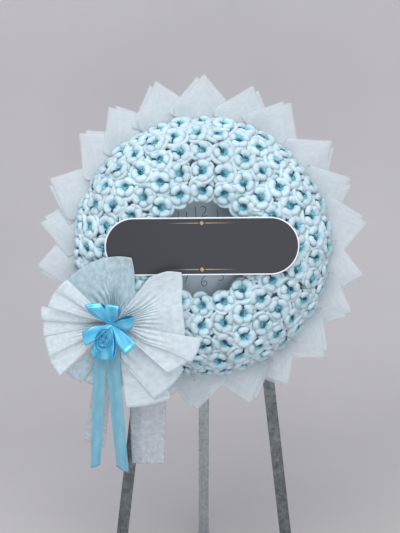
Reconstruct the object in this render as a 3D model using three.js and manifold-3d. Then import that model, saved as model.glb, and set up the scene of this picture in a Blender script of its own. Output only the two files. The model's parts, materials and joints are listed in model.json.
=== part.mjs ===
// A memorial wreath with a clock in its middle, leaning on a folding tripod easel.
// Millimetres, +Z up, the front faces -Y. The easel's feet stand on z = 0.
//
// Most pieces are placed in the wreath's own frame: x to the right, y up along the leaning
// wreath, z out towards the person who looks at it, with z = 0 on the back of the board.

import * as THREE from "three";
import { mergeVertices } from "three/addons/utils/BufferGeometryUtils.js";
import Module from "manifold-3d";

const wasm = await Module();
wasm.setup();

// ---------------------------------------------------------------- driving dimensions

const DEG = Math.PI / 180;
const GAP = 0.3; // between pieces that touch

const wreath = {
  lean: 10 * DEG, // the top leans back by this much
  centreHeight: 1045, // above the floor
  offset: -6, // it hangs a little to the left of the easel's middle
};

const board = { radius: 305, thickness: 8, segments: 48 };

const foam = { bore: 150, rebateRadius: 283, rebateHeight: 27, edge: 3, segments: 40 };

// The rows of flowers, from the clock outwards: the middle of the flowers' faces (radius and
// height above the board's back), how far they turn outwards, and how many flowers there are.
const flowerRows = [
  { name: "flower_row_1_inner", radius: 154, height: 141, turn: -20, count: 16, across: 25.8 },
  { name: "flower_row_2_crest", radius: 211, height: 147, turn: 4, count: 22, across: 27.6 },
  { name: "flower_row_3", radius: 270, height: 133, turn: 24, count: 28, across: 28.2 },
  { name: "flower_row_4", radius: 320, height: 103, turn: 45, count: 33, across: 28.4 },
  { name: "flower_row_5_outer", radius: 356, height: 58, turn: 66, count: 36, across: 28.4 },
];
const flower = {
  depth: 36, // from the foam to the rim of the petals
  overlap: 1.6, // each flower presses this far into the next one of its row
  base: 0.5, // radius of the cup's base, as a share of its rim
  throat: 21, // height of the middle of the cup
  petals: 4,
  notch: { radius: 0.84, height: 29 }, // the rim between two petals
};

const collar = {
  count: 22,
  first: 90, // degrees, the petal at the top
  inner: 290, // radius where the petals are glued down
  tip: 458,
  topReach: 13, // the petals at the top are glued this much further out
  halfWidth: 84,
  innerHalfWidth: 30,
  tipSpread: 13, // each folded square shows two corners, this far either side of its middle
  sideCorner: 8, // half the height of the blunt side corners
  fold: 5, // height of the soft fold down the middle
  middle: 13, // height of the petals' roots above the board's back
  rise: 4, // degrees, towards the front
  shingle: 6, // degrees, so that each petal lies over the next one
  thickness: 1.6,
};

const clock = {
  radius: 144,
  wall: 4,
  depth: 38,
  back: 3,
  turn: 3.5, // degrees, anticlockwise
  dial: { radius: 139.5, height: 23, thickness: 1.5, hole: 4 },
  lens: { radius: 139.5, height: 34, thickness: 2 },
  movement: { side: 56, thickness: 16 },
  spindle: 3,
};
// Lengths from the spindle, and the height of each hand above the dial.
const hands = [
  { name: "clock_hour_hand", length: 62, tail: 14, width: 7, height: 1.6, angle: 305, hub: 7 },
  { name: "clock_minute_hand", length: 92, tail: 18, width: 5, height: 3.4, angle: 60, hub: 6 },
  { name: "clock_second_hand", length: 98, tail: 28, width: 1.8, height: 5.6, angle: 210, hub: 4.5 },
];
const handThickness = 0.9;

const sign = { length: 525, height: 156, thickness: 5, back: 151, y: 6, turn: 0.5 * DEG };
const signPin = { x: 183, radius: 1.5, clearance: 0.4, depth: 75 };

const bow = {
  x: -235,
  y: -200,
  z: 142, // the back of the gathered waist
  tilt: 12 * DEG, // the outer side of the bow falls back
  waist: 11, // radius of the gathered waist
  thickness: 1.6,
  layer: 7, // between the strips at the waist
  spread: 0.03, // and more towards their ends
  pleat: { waist: 1.6, end: 4.5, columns: 8 },
};
// Each strip of fabric is gathered at its waist and fans out at both ends. A fan runs from its
// first angle to its last one, both in degrees, with its lengths at even steps between them.
const bowStrips = [
  {
    name: "bow_strip_1_back",
    fans: [
      { from: 139, to: 43.8, lengths: [174, 173, 174, 178, 180, 182, 184, 112, 80] },
      { from: 226, to: 250, lengths: [204, 200, 197, 194, 193] },
    ],
  },
  {
    name: "bow_strip_2",
    fans: [
      { from: -32, to: -83, lengths: [226, 233, 237, 256, 237] },
      { from: 168, to: 192, lengths: [206, 203, 201, 201, 203] },
    ],
  },
  {
    name: "bow_strip_3",
    fans: [
      { from: 52, to: -8, lengths: [165, 212, 240, 226, 213, 205, 200, 197, 196, 197, 198] },
      { from: 192, to: 224, lengths: [197, 201, 207, 212, 214] },
    ],
  },
  {
    name: "bow_strip_4_front",
    fans: [
      { from: -6, to: -40, lengths: [246, 239, 234, 222, 196] },
      { from: 138, to: 165, lengths: [172, 176, 178, 180, 182] },
    ],
  },
];

// Tails hang straight down from the bow. Each has the place of its middle, its half width and
// how far it hangs in front of the waist, at the knot, at the bend and at the free end.
const tailBend = 0.3; // share of the drop where a tail comes clear of the bow
const bowTails = [
  {
    name: "bow_tail_left",
    drop: 366,
    x: [0, -30, -68],
    half: [5, 22, 29],
    forward: [-3, -20, -26],
    slant: 14,
  },
  {
    name: "bow_tail_right",
    drop: 424,
    x: [0, 84, 82],
    half: [5, 56, 47],
    forward: [-10, -8, -23],
    slant: 2,
  },
  {
    name: "satin_tail_left",
    drop: 414,
    x: [-8, -42, -62],
    half: [10, 17, 14],
    forward: [34, 31, 19],
    slant: -6,
  },
  {
    name: "satin_tail_right",
    drop: 424,
    x: [8, -5, 14],
    half: [10, 19, 17],
    forward: [38, 35, 20],
    slant: 10,
  },
];

const satin = { width: 37, height: 26, hub: 13, above: 34 };
// The ribbon wound like a rose over the knot: its middle and its half sizes.
const rose = { middle: [-21, -34, 21], half: [25, 27, 14] };
// Loops of ribbon around the knot: direction in degrees, how far they reach, how much they rise.
const satinLoops = [
  { angle: 129, reach: 80, rise: 30 },
  { angle: 96, reach: 60, rise: 30 },
  { angle: 8, reach: 62, rise: 24 },
  { angle: -57, reach: 80, rise: 16 },
  { angle: 213, reach: 92, rise: 12 },
  { angle: 262, reach: 96, rise: 8 },
  { angle: 243, reach: 104, rise: 2 },
];

const tube = { width: 32, depth: 24, wall: 1.6 };
const easel = {
  front: -3.7, // the front face of the legs, behind the board
  headHeight: 345, // the middle of the crossbar, above the wreath's centre
  legTop: 104, // half the distance between the front legs under the crossbar
  splay: 6.5 * DEG,
  openAngle: 14 * DEG, // between the rear leg and the front ones
  hingeSetback: 48, // the hinge bolt, behind the board
  lug: { thickness: 4, inner: 17 },
  boltRadius: 4,
  legEnd: 10, // the tubes end this far above the floor, inside their shoes
};
const shoe = { wall: 3, height: 46 };
const hanger = { width: 28, thickness: 2.4, bottom: 175, lip: 10 };

// ---------------------------------------------------------------- finishes

function finish(color, roughness, metalness = 0) {
  return new THREE.MeshStandardMaterial({ color, roughness, metalness });
}

const finishes = {
  flowers: finish("#b9dbe8", 0.8),
  foam: finish("#dfeef2", 0.9),
  board: finish("#b99b74", 0.8),
  nonwoven: finish("#d5e4ec", 0.85),
  satin: finish("#4fb9dd", 0.3),
  clockCase: finish("#e9edf0", 0.4),
  dial: finish("#dfe6ea", 0.6),
  lens: finish("#f4f8fa", 0.05),
  hands: finish("#33363a", 0.4),
  movement: finish("#1f2123", 0.5),
  sign: finish("#3d4047", 0.35),
  steel: finish("#7f8a8e", 0.4, 0.8),
  zinc: finish("#b4b8ba", 0.35, 0.9),
  rubber: finish("#26272a", 0.85),
};

// ---------------------------------------------------------------- closed solids

/** The geometry with only positions, its equal vertices merged and its faces turned outwards. */
function closed(geometry) {
  const bare = geometry.index ? geometry.toNonIndexed() : geometry.clone();
  for (const name of Object.keys(bare.attributes)) {
    if (name !== "position") bare.deleteAttribute(name);
  }
  const merged = mergeVertices(bare, 1e-3);
  const kept = [];
  for (let i = 0; i < merged.index.count; i += 3) {
    const [a, b, c] = [0, 1, 2].map((k) => merged.index.getX(i + k));
    if (a !== b && b !== c && c !== a) kept.push(a, b, c);
  }
  if (signedVolume(merged.attributes.position, kept) < 0) kept.reverse();
  merged.setIndex(kept);
  return merged;
}

function signedVolume(position, index) {
  const corner = [0, 1, 2].map(() => new THREE.Vector3());
  let volume = 0;
  for (let i = 0; i < index.length; i += 3) {
    corner.forEach((v, k) => v.fromBufferAttribute(position, index[i + k]));
    volume += corner[0].dot(corner[1].clone().cross(corner[2])) / 6;
  }
  return volume;
}

/** A manifold of a closed geometry, moved by a matrix if one is given. */
function solid(geometry, matrix) {
  const shape = closed(geometry);
  if (matrix) shape.applyMatrix4(matrix);
  return new wasm.Manifold(
    new wasm.Mesh({
      numProp: 3,
      vertProperties: new Float32Array(shape.attributes.position.array),
      triVerts: new Uint32Array(shape.index.array),
    }),
  );
}

function geometryOf(manifold) {
  const mesh = manifold.getMesh();
  const geometry = new THREE.BufferGeometry();
  geometry.setAttribute("position", new THREE.BufferAttribute(mesh.vertProperties, 3));
  geometry.setIndex(new THREE.BufferAttribute(mesh.triVerts, 1));
  return geometry;
}

function piece(name, geometry, material) {
  const mesh = new THREE.Mesh(closed(geometry), material);
  mesh.name = name;
  return mesh;
}

/** A box between two corners. */
function block(low, high) {
  const size = high.map((value, k) => value - low[k]);
  const middle = high.map((value, k) => (value + low[k]) / 2);
  return new THREE.BoxGeometry(...size).translate(...middle);
}

/** A solid of revolution about the z axis, from a closed outline of [radius, height] points. */
function turned(outline, segments) {
  const points = [...outline, outline[0]].map(([radius, height]) => new THREE.Vector2(radius, height));
  return new THREE.LatheGeometry(points, segments).rotateX(Math.PI / 2);
}

function disc(radius, low, thickness, segments) {
  return new THREE.CylinderGeometry(radius, radius, thickness, segments)
    .rotateX(Math.PI / 2)
    .translate(0, 0, low + thickness / 2);
}

/**
 * A thin sheet of fabric as a closed solid. point(i, j) gives the back of the sheet at column i
 * of columns and row j of rows, and the front lies thickness further along +z.
 */
function sheet(columns, rows, thickness, point) {
  const front = new THREE.Vector3(0, 0, thickness);
  const back = [];
  for (let j = 0; j <= rows; j += 1) {
    for (let i = 0; i <= columns; i += 1) back.push(point(i, j));
  }
  const points = [...back, ...back.map((p) => p.clone().add(front))];
  const at = (i, j, side) => side * back.length + j * (columns + 1) + i;
  const index = [];
  const quad = (a, b, c, d) => index.push(a, b, c, a, c, d);
  for (let j = 0; j < rows; j += 1) {
    for (let i = 0; i < columns; i += 1) {
      quad(at(i, j, 1), at(i + 1, j, 1), at(i + 1, j + 1, 1), at(i, j + 1, 1));
      quad(at(i, j, 0), at(i, j + 1, 0), at(i + 1, j + 1, 0), at(i + 1, j, 0));
    }
  }
  for (let i = 0; i < columns; i += 1) {
    quad(at(i, 0, 0), at(i + 1, 0, 0), at(i + 1, 0, 1), at(i, 0, 1));
    quad(at(i + 1, rows, 0), at(i, rows, 0), at(i, rows, 1), at(i + 1, rows, 1));
  }
  for (let j = 0; j < rows; j += 1) {
    quad(at(columns, j, 0), at(columns, j + 1, 0), at(columns, j + 1, 1), at(columns, j, 1));
    quad(at(0, j + 1, 0), at(0, j, 0), at(0, j, 1), at(0, j + 1, 1));
  }
  const geometry = new THREE.BufferGeometry();
  geometry.setFromPoints(points);
  geometry.setIndex(index);
  return geometry;
}

/** A value at a share of the way along evenly spaced values. */
function between(values, share) {
  const step = Math.min(Math.floor(share * (values.length - 1)), values.length - 2);
  return THREE.MathUtils.lerp(values[step], values[step + 1], share * (values.length - 1) - step);
}

/** A tail's value at a share of its drop, from its three values at the knot, bend and end. */
function along([start, middle, end], share) {
  const eased = Math.sin((share / tailBend) * (Math.PI / 2));
  if (share < tailBend) return THREE.MathUtils.lerp(start, middle, eased);
  return THREE.MathUtils.lerp(middle, end, (share - tailBend) / (1 - tailBend));
}

/** A small, repeatable variation between -1 and 1 for the copies of a piece made by hand. */
function variation(number, kind) {
  return Math.sin(number * 2.399 + kind * 1.7);
}

// ---------------------------------------------------------------- flowers and foam

/** One flower as a cup with a scalloped rim. Its axis is +z, and its base stands on z = 0. */
function flowerCup(halfAlong, halfAcross) {
  const points = [new THREE.Vector3(0, 0, 0), new THREE.Vector3(0, 0, flower.throat)];
  const steps = flower.petals * 2;
  for (let k = 0; k < steps; k += 1) {
    const angle = (k / steps) * 2 * Math.PI;
    const petal = k % 2 === 0;
    const share = petal ? 1 : flower.notch.radius;
    const height = petal ? flower.depth : flower.notch.height;
    const [x, y] = [Math.cos(angle) * halfAlong, Math.sin(angle) * halfAcross];
    points.push(new THREE.Vector3(x * flower.base, y * flower.base, 0));
    points.push(new THREE.Vector3(x * share, y * share, height));
  }
  const index = [];
  for (let k = 0; k < steps; k += 1) {
    const [base, rim] = [2 + 2 * k, 3 + 2 * k];
    const [nextBase, nextRim] = [2 + 2 * ((k + 1) % steps), 3 + 2 * ((k + 1) % steps)];
    index.push(0, nextBase, base, base, nextBase, nextRim, base, nextRim, rim, rim, nextRim, 1);
  }
  const geometry = new THREE.BufferGeometry();
  geometry.setFromPoints(points);
  geometry.setIndex(index);
  return geometry;
}

/** The point under a row's flowers, at a depth below their faces. */
function underRow(row, depth) {
  const turn = row.turn * DEG;
  return [row.radius - Math.sin(turn) * depth, row.height - Math.cos(turn) * depth];
}

/** A ring of flowers that press into each other, each one standing on the foam. */
function flowerRing(row, number) {
  const turn = row.turn * DEG;
  const pitch = (2 * Math.PI * row.radius) / row.count;
  const cup = flowerCup(pitch / 2 + flower.overlap, row.across);
  const [radius, height] = underRow(row, flower.depth);
  const place = new THREE.Matrix4();
  const stagger = number % 2 === 0 ? 0 : 0.5;
  let ring = null;
  for (let k = 0; k < row.count; k += 1) {
    const angle = ((k + stagger) / row.count) * 2 * Math.PI;
    place.makeRotationZ(angle + Math.PI / 2);
    const [x, y] = [Math.cos(angle) * radius, Math.sin(angle) * radius];
    place.premultiply(new THREE.Matrix4().makeTranslation(x, y, height));
    place.multiply(new THREE.Matrix4().makeRotationX(turn));
    const one = solid(cup, place);
    ring = ring ? ring.add(one) : one;
  }
  return ring;
}

/** The pins that hold the sign, or the clearance around them. */
function signPinShape(side, radius) {
  const length = sign.back - GAP - signPin.depth;
  return disc(radius, signPin.depth, length, 10).translate(side * signPin.x, sign.y, 0);
}

function withoutPins(shape) {
  let left = shape;
  for (const side of [-1, 1]) {
    left = left.subtract(solid(signPinShape(side, signPin.radius + signPin.clearance)));
  }
  return left;
}

/** The foam ring: a flat back with a rebate for the collar, and a dome under the flowers. */
function foamRing() {
  const under = flowerRows.map((row) => underRow(row, flower.depth + 0.5));
  const [first, last] = [under[0], under[under.length - 1]];
  const [firstTurn, lastTurn] = [flowerRows[0].turn * DEG, flowerRows.at(-1).turn * DEG];
  const top = first[1] - (first[0] - foam.bore) * Math.tan(-firstTurn);
  const edge = foam.rebateHeight + foam.edge;
  const rim = last[0] + (last[1] - edge) / Math.tan(lastTurn);
  const bottom = board.thickness + GAP;
  const outline = [
    [foam.bore, bottom],
    [foam.rebateRadius, bottom],
    [foam.rebateRadius, foam.rebateHeight],
    [rim, foam.rebateHeight],
    [rim, edge],
    ...under.toReversed(),
    [foam.bore, top],
  ];
  return turned(outline, foam.segments);
}

function flowersAndFoam() {
  const group = new THREE.Group();
  flowerRows.forEach((row, number) => {
    const ring = flowerRing(row, number);
    const shape = number < 2 ? withoutPins(ring) : ring;
    group.add(piece(row.name, geometryOf(shape), finishes.flowers));
  });
  group.add(piece("foam_ring", geometryOf(withoutPins(solid(foamRing()))), finishes.foam));
  group.add(piece("backing_board", disc(board.radius, 0, board.thickness, board.segments), finishes.board));
  return group;
}

// ---------------------------------------------------------------- collar

/** The direction in which a petal of the collar points, anticlockwise from the right. */
function collarAngle(number) {
  return (collar.first - (360 / collar.count) * number + 1.5 * variation(number, 2)) * DEG;
}

/** One folded square of fabric with its two corners outwards, +y along its middle. */
function collarPetal(number) {
  const columns = [-1, -0.6, -collar.tipSpread / collar.halfWidth, 0];
  const shares = [...columns, ...columns.slice(0, 3).map((share) => -share).reverse()];
  const upwards = Math.max(0, Math.sin(collarAngle(number)));
  const tip = collar.tip + collar.topReach * upwards ** 3 + 6 * variation(number, 1);
  const point = (i, j) => {
    const x = shares[i] * collar.halfWidth;
    const fromTip = Math.abs(x) - collar.tipSpread;
    const outer = tip - (fromTip > 0 ? fromTip : -0.8 * fromTip) + (x > 0 ? 3 : 0);
    const widening = Math.max(0, Math.abs(x) - collar.innerHalfWidth);
    const corner = tip - collar.halfWidth + collar.tipSpread - 2 * collar.sideCorner;
    const slope = (corner - collar.inner) / (collar.halfWidth - collar.innerHalfWidth);
    const inner = collar.inner + widening * slope;
    const y = j === 0 ? inner : outer;
    const fold = collar.fold * (1 - Math.abs(shares[i]));
    return new THREE.Vector3(x, y, fold + (y - collar.inner) * Math.tan(collar.rise * DEG));
  };
  return sheet(shares.length - 1, 1, collar.thickness, point);
}

function collarRing() {
  const group = new THREE.Group();
  for (let k = 0; k < collar.count; k += 1) {
    const label = String(k + 1).padStart(2, "0");
    const petal = piece(`collar_petal_${label}`, collarPetal(k), finishes.nonwoven);
    petal.position.z = collar.middle;
    petal.rotation.y = collar.shingle * DEG;
    const spoke = new THREE.Group();
    spoke.rotation.z = collarAngle(k) - Math.PI / 2;
    spoke.add(petal);
    group.add(spoke);
  }
  return group;
}

// ---------------------------------------------------------------- clock

function clockHand(hand) {
  const outline = new THREE.Shape();
  const half = hand.width / 2;
  outline.moveTo(-half, -hand.tail);
  outline.lineTo(half, -hand.tail);
  outline.lineTo(half, hand.length * 0.8);
  outline.lineTo(half * 0.25, hand.length);
  outline.lineTo(-half * 0.25, hand.length);
  outline.lineTo(-half, hand.length * 0.8);
  const blade = new THREE.ExtrudeGeometry(outline, { depth: handThickness, bevelEnabled: false });
  let shape = solid(blade).add(solid(disc(hand.hub, 0, handThickness, 14)));
  if (hand.height < clock.spindle + 2) {
    shape = shape.subtract(solid(disc(clock.spindle + GAP, -1, handThickness + 2, 14)));
  }
  return geometryOf(shape);
}

function wallClock() {
  const group = new THREE.Group();
  group.position.z = board.thickness + GAP;
  group.rotation.z = clock.turn * DEG;
  const inside = clock.radius - clock.wall;
  const caseOutline = [
    [0, 0],
    [clock.radius - 3, 0],
    [clock.radius, 3],
    [clock.radius, clock.depth - 2],
    [clock.radius - 1.5, clock.depth],
    [inside, clock.depth],
    [inside, clock.back],
    [0, clock.back],
  ];
  const { dial, lens, movement } = clock;
  const movementTop = dial.height - GAP;
  const box = block(
    [-movement.side / 2, -movement.side / 2, movementTop - movement.thickness],
    [movement.side / 2, movement.side / 2, movementTop],
  );
  const lastHand = hands[2];
  const faceHeight = dial.height + dial.thickness;
  const spindleTop = faceHeight + lastHand.height - GAP;
  const spindle = disc(clock.spindle, movementTop - 1, spindleTop - movementTop + 1, 14);
  const dialPlate = solid(disc(dial.radius, dial.height, dial.thickness, 48));
  const dialHole = solid(disc(dial.hole, dial.height - 1, dial.thickness + 2, 20));
  group.add(piece("clock_case", turned(caseOutline, 48), finishes.clockCase));
  group.add(piece("clock_dial", geometryOf(dialPlate.subtract(dialHole)), finishes.dial));
  group.add(piece("clock_movement", geometryOf(solid(box).add(solid(spindle))), finishes.movement));
  group.add(piece("clock_lens", disc(lens.radius, lens.height, lens.thickness, 48), finishes.lens));
  for (const hand of hands) {
    const mesh = piece(hand.name, clockHand(hand), finishes.hands);
    mesh.position.z = faceHeight + hand.height;
    mesh.rotation.z = -hand.angle * DEG;
    group.add(mesh);
  }
  return group;
}

// ---------------------------------------------------------------- sign

function signBoard() {
  const group = new THREE.Group();
  const radius = sign.height / 2;
  const straight = sign.length / 2 - radius;
  const outline = new THREE.Shape();
  outline.moveTo(-straight, -radius);
  outline.lineTo(straight, -radius);
  outline.absarc(straight, 0, radius, -Math.PI / 2, Math.PI / 2);
  outline.lineTo(-straight, radius);
  outline.absarc(-straight, 0, radius, Math.PI / 2, (3 * Math.PI) / 2);
  const options = { depth: sign.thickness, bevelEnabled: false, curveSegments: 20 };
  const plate = piece("sign_board", new THREE.ExtrudeGeometry(outline, options), finishes.sign);
  plate.position.set(0, sign.y, sign.back);
  plate.rotation.z = sign.turn;
  group.add(plate);
  group.add(piece("sign_pin_left", signPinShape(-1, signPin.radius), finishes.zinc));
  group.add(piece("sign_pin_right", signPinShape(1, signPin.radius), finishes.zinc));
  return group;
}

// ---------------------------------------------------------------- fabric bow

/** A strip gathered at its waist, with a pleated fan at each end. */
function bowStrip(strip, layer) {
  const rows = [1, 0.55, 0.06, 0.06, 0.55, 1]; // shares of a fan's length, from end to end
  const { columns } = bow.pleat;
  const point = (i, j) => {
    const side = j < rows.length / 2 ? 0 : 1;
    const fan = strip.fans[side];
    const share = i / columns;
    const angle = THREE.MathUtils.lerp(fan.from, fan.to, share) * DEG;
    const length = between(fan.lengths, share);
    const radius = Math.max(bow.waist, rows[j] * length);
    const pleat = THREE.MathUtils.lerp(bow.pleat.waist, bow.pleat.end, rows[j]);
    const fold = (i % 2 === 0 ? -1 : 1) * pleat * (i === 0 || i === columns ? 0.4 : 1);
    const height = layer * (bow.layer + bow.spread * radius) + bow.pleat.end + fold;
    return new THREE.Vector3(Math.cos(angle) * radius, Math.sin(angle) * radius, height);
  };
  return sheet(columns, rows.length - 1, bow.thickness, point);
}

/** The outer shape of a loop of ribbon, from the knot out along its direction. */
function satinLoop(loop) {
  const outline = new THREE.Shape();
  const middle = loop.reach / 2;
  outline.absellipse(middle, 0, middle, satin.height / 2, 0, 2 * Math.PI, false, 0);
  const options = { depth: satin.width, bevelEnabled: false, curveSegments: 7 };
  const place = new THREE.Matrix4().makeRotationZ(loop.angle * DEG);
  place.multiply(new THREE.Matrix4().makeRotationY(-loop.rise * DEG));
  place.multiply(new THREE.Matrix4().makeRotationX(Math.PI / 2));
  const shape = new THREE.ExtrudeGeometry(outline, options).translate(0, 0, -satin.width / 2);
  return solid(shape, place);
}

function satinLoopsShape() {
  const hub = new THREE.SphereGeometry(satin.hub, 10, 6);
  let shape = solid(hub);
  for (const loop of satinLoops) shape = shape.add(satinLoop(loop));
  return shape;
}

/** The outer shape of the ribbon rose, grown by a margin. */
function roseShape(margin) {
  const half = rose.half.map((length) => length + margin);
  return new THREE.SphereGeometry(1, 14, 10).scale(...half).translate(...rose.middle);
}

/** A tail that hangs straight down, widening from the knot. x and y are as seen from the front. */
function hangingTail(tail) {
  const [columns, rows] = [4, 8];
  const point = (i, j) => {
    const share = j / rows;
    const side = (2 * i) / columns - 1;
    const x = along(tail.x, share) + along(tail.half, share) * side;
    const y = -tail.drop * share - tail.slant * side * share;
    const wave = 3 * share * Math.cos(side * Math.PI);
    return new THREE.Vector3(x, y, along(tail.forward, share) + wave);
  };
  return sheet(columns, rows, bow.thickness, point);
}

function fabricBow() {
  const group = new THREE.Group();
  group.position.set(bow.x, bow.y, bow.z);
  const towardsCentre = Math.atan2(-bow.y, -bow.x);
  const axis = new THREE.Vector3(Math.sin(towardsCentre), -Math.cos(towardsCentre), 0);
  const fans = new THREE.Group();
  fans.setRotationFromAxisAngle(axis, bow.tilt);
  bowStrips.forEach((strip, layer) => {
    fans.add(piece(strip.name, bowStrip(strip, layer), finishes.nonwoven));
  });
  const middle = satin.above + satin.hub + 8;
  const clearance = solid(roseShape(GAP));
  const loops = piece("satin_loops", geometryOf(satinLoopsShape().subtract(clearance)), finishes.satin);
  loops.position.z = middle;
  const knot = piece("satin_knot", roseShape(0), finishes.satin);
  knot.position.z = middle;
  fans.add(loops, knot);
  const plumb = new THREE.Group(); // upright, whatever the wreath leans
  plumb.rotation.x = wreath.lean;
  for (const tail of bowTails) {
    const material = tail.name.startsWith("satin") ? finishes.satin : finishes.nonwoven;
    plumb.add(piece(tail.name, hangingTail(tail), material));
  }
  group.add(fans, plumb);
  return group;
}

// ---------------------------------------------------------------- easel

/** A length of tube along -y from the origin, its wide side facing forwards, moved by a matrix. */
function tubeLength(length, place) {
  const outer = block([-tube.width / 2, -length, -tube.depth / 2], [tube.width / 2, 0, tube.depth / 2]);
  const [x, z] = [tube.width / 2 - tube.wall, tube.depth / 2 - tube.wall];
  const inner = block([-x, -length - 1, -z], [x, 1, z]);
  return solid(outer, place).subtract(solid(inner, place));
}

/** Everything below the floor, in the wreath's frame. */
function belowFloor() {
  const place = new THREE.Matrix4().makeRotationX(wreath.lean - Math.PI / 2);
  place.multiply(new THREE.Matrix4().makeTranslation(0, 0, -wreath.centreHeight - 200));
  return solid(new THREE.BoxGeometry(3000, 3000, 400), place);
}

/** The length of a leg from a point of the wreath's frame, along a direction, to a height above the floor. */
function lengthToFloor(start, direction, height) {
  const up = new THREE.Vector3(0, Math.cos(wreath.lean), Math.sin(wreath.lean));
  return (wreath.centreHeight + start.dot(up) - height) / -direction.dot(up);
}

/** The shoe for a leg's end: a cup of rubber with its sole cut level with the floor. */
function shoeShape(place, length) {
  const [x, z] = [tube.width / 2 + shoe.wall, tube.depth / 2 + shoe.wall];
  const outer = block([-x, -length - 60, -z], [x, -length - easel.legEnd + shoe.height, z]);
  const [socketX, socketZ] = [tube.width / 2 + GAP, tube.depth / 2 + GAP];
  const socket = block([-socketX, -length - GAP, -socketZ], [socketX, 0, socketZ]);
  return solid(outer, place).subtract(solid(socket, place)).subtract(belowFloor());
}

function frontLeg(side, name) {
  const top = easel.headHeight - tube.width / 2 - GAP;
  const middle = easel.front - tube.depth / 2;
  const start = new THREE.Vector3(side * easel.legTop, top, middle);
  const direction = new THREE.Vector3(side * Math.sin(easel.splay), -Math.cos(easel.splay), 0);
  const spare = 20; // cut off level under the crossbar
  const length = lengthToFloor(start, direction, easel.legEnd);
  const place = new THREE.Matrix4().makeTranslation(...start.clone().addScaledVector(direction, -spare));
  place.multiply(new THREE.Matrix4().makeRotationZ(side * easel.splay));
  const aboveTop = block([-300, top, -100], [300, top + 200, 100]);
  const leg = tubeLength(length + spare, place);
  return [
    piece(`easel_leg_${name}`, geometryOf(leg.subtract(solid(aboveTop))), finishes.steel),
    piece(`foot_${name}`, geometryOf(shoeShape(place, length + spare)), finishes.rubber),
  ];
}

function boltAlongX(radius, halfLength) {
  return new THREE.CylinderGeometry(radius, radius, 2 * halfLength, 14).rotateZ(Math.PI / 2);
}

function rearLeg() {
  const hinge = new THREE.Vector3(0, easel.headHeight, -easel.hingeSetback);
  const direction = new THREE.Vector3(0, -Math.cos(easel.openAngle), -Math.sin(easel.openAngle));
  const above = 10; // the tube reaches this far past its hinge
  const length = lengthToFloor(hinge, direction, easel.legEnd) + above;
  const place = new THREE.Matrix4().makeTranslation(...hinge);
  place.multiply(new THREE.Matrix4().makeRotationX(easel.openAngle));
  place.multiply(new THREE.Matrix4().makeTranslation(0, above, 0));
  const bore = boltAlongX(easel.boltRadius + GAP, tube.width).translate(0, -above, 0);
  const leg = tubeLength(length, place).subtract(solid(bore, place));
  return [
    piece("easel_leg_rear", geometryOf(leg), finishes.steel),
    piece("foot_rear", geometryOf(shoeShape(place, length)), finishes.rubber),
  ];
}

/** The crossbar with the two lugs that hold the rear leg's hinge bolt. */
function easelHead() {
  const halfLength = easel.legTop + tube.width / 2 + 6;
  const middle = easel.front - tube.depth / 2;
  const place = new THREE.Matrix4().makeTranslation(halfLength, easel.headHeight, middle);
  place.multiply(new THREE.Matrix4().makeRotationZ(-Math.PI / 2));
  let head = tubeLength(2 * halfLength, place);
  const back = easel.front - tube.depth;
  const low = easel.headHeight - tube.width / 2;
  for (const side of [-1, 1]) {
    const [a, b] = [side * easel.lug.inner, side * (easel.lug.inner + easel.lug.thickness)];
    const lug = block(
      [Math.min(a, b), low, -easel.hingeSetback - 13],
      [Math.max(a, b), low + tube.width, back + tube.wall / 2],
    );
    head = head.add(solid(lug));
  }
  const bore = boltAlongX(easel.boltRadius + GAP, 60).translate(0, easel.headHeight, -easel.hingeSetback);
  return piece("easel_head", geometryOf(head.subtract(solid(bore))), finishes.steel);
}

function hingeBolt() {
  const half = easel.lug.inner + easel.lug.thickness + GAP;
  const shank = solid(boltAlongX(easel.boltRadius, half + 7));
  const head = new THREE.CylinderGeometry(7.5, 7.5, 5, 6).rotateZ(Math.PI / 2);
  const right = solid(head.clone().translate(half + 2.5, 0, 0));
  const left = solid(head.translate(-half - 2.5, 0, 0));
  const bolt = shank.add(right).add(left);
  const mesh = piece("hinge_bolt", geometryOf(bolt), finishes.zinc);
  mesh.position.set(0, easel.headHeight, -easel.hingeSetback);
  return mesh;
}

/** The strip on the board's back that hooks over the crossbar. */
function boardHanger() {
  const { thickness } = hanger;
  const front = (easel.front - thickness) / 2; // half way between the board and the crossbar
  const top = easel.headHeight + tube.width / 2 + GAP;
  const back = easel.front - tube.depth - GAP - thickness;
  const outline = new THREE.Shape();
  outline.moveTo(front, hanger.bottom);
  outline.lineTo(front + thickness, hanger.bottom);
  outline.lineTo(front + thickness, top + thickness);
  outline.lineTo(back, top + thickness);
  outline.lineTo(back, top - hanger.lip);
  outline.lineTo(back + thickness, top - hanger.lip);
  outline.lineTo(back + thickness, top);
  outline.lineTo(front, top);
  const shape = new THREE.ExtrudeGeometry(outline, { depth: hanger.width, bevelEnabled: false });
  shape.translate(0, 0, -hanger.width / 2).rotateY(-Math.PI / 2);
  return piece("board_hanger", shape, finishes.zinc);
}

function folding() {
  const group = new THREE.Group();
  group.position.x = -wreath.offset;
  group.add(...frontLeg(-1, "left"), ...frontLeg(1, "right"), ...rearLeg());
  group.add(easelHead(), hingeBolt(), boardHanger());
  return group;
}

// ---------------------------------------------------------------- the whole wreath

const leaning = new THREE.Group();
leaning.position.z = wreath.centreHeight;
leaning.rotation.x = Math.PI / 2 - wreath.lean;
leaning.add(flowersAndFoam(), collarRing(), wallClock(), signBoard(), fabricBow(), folding());

const group = new THREE.Group();
group.add(leaning);
group.updateMatrixWorld(true);
const bounds = new THREE.Box3().setFromObject(group, true);
const middle = bounds.getCenter(new THREE.Vector3());
group.position.set(-middle.x, -middle.y, -bounds.min.z);

export default group;
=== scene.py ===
"""A memorial wreath on a folding steel easel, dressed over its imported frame."""
import json
import logging
import math
from collections.abc import Callable, Sequence
from dataclasses import dataclass, field
from enum import Enum

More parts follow.
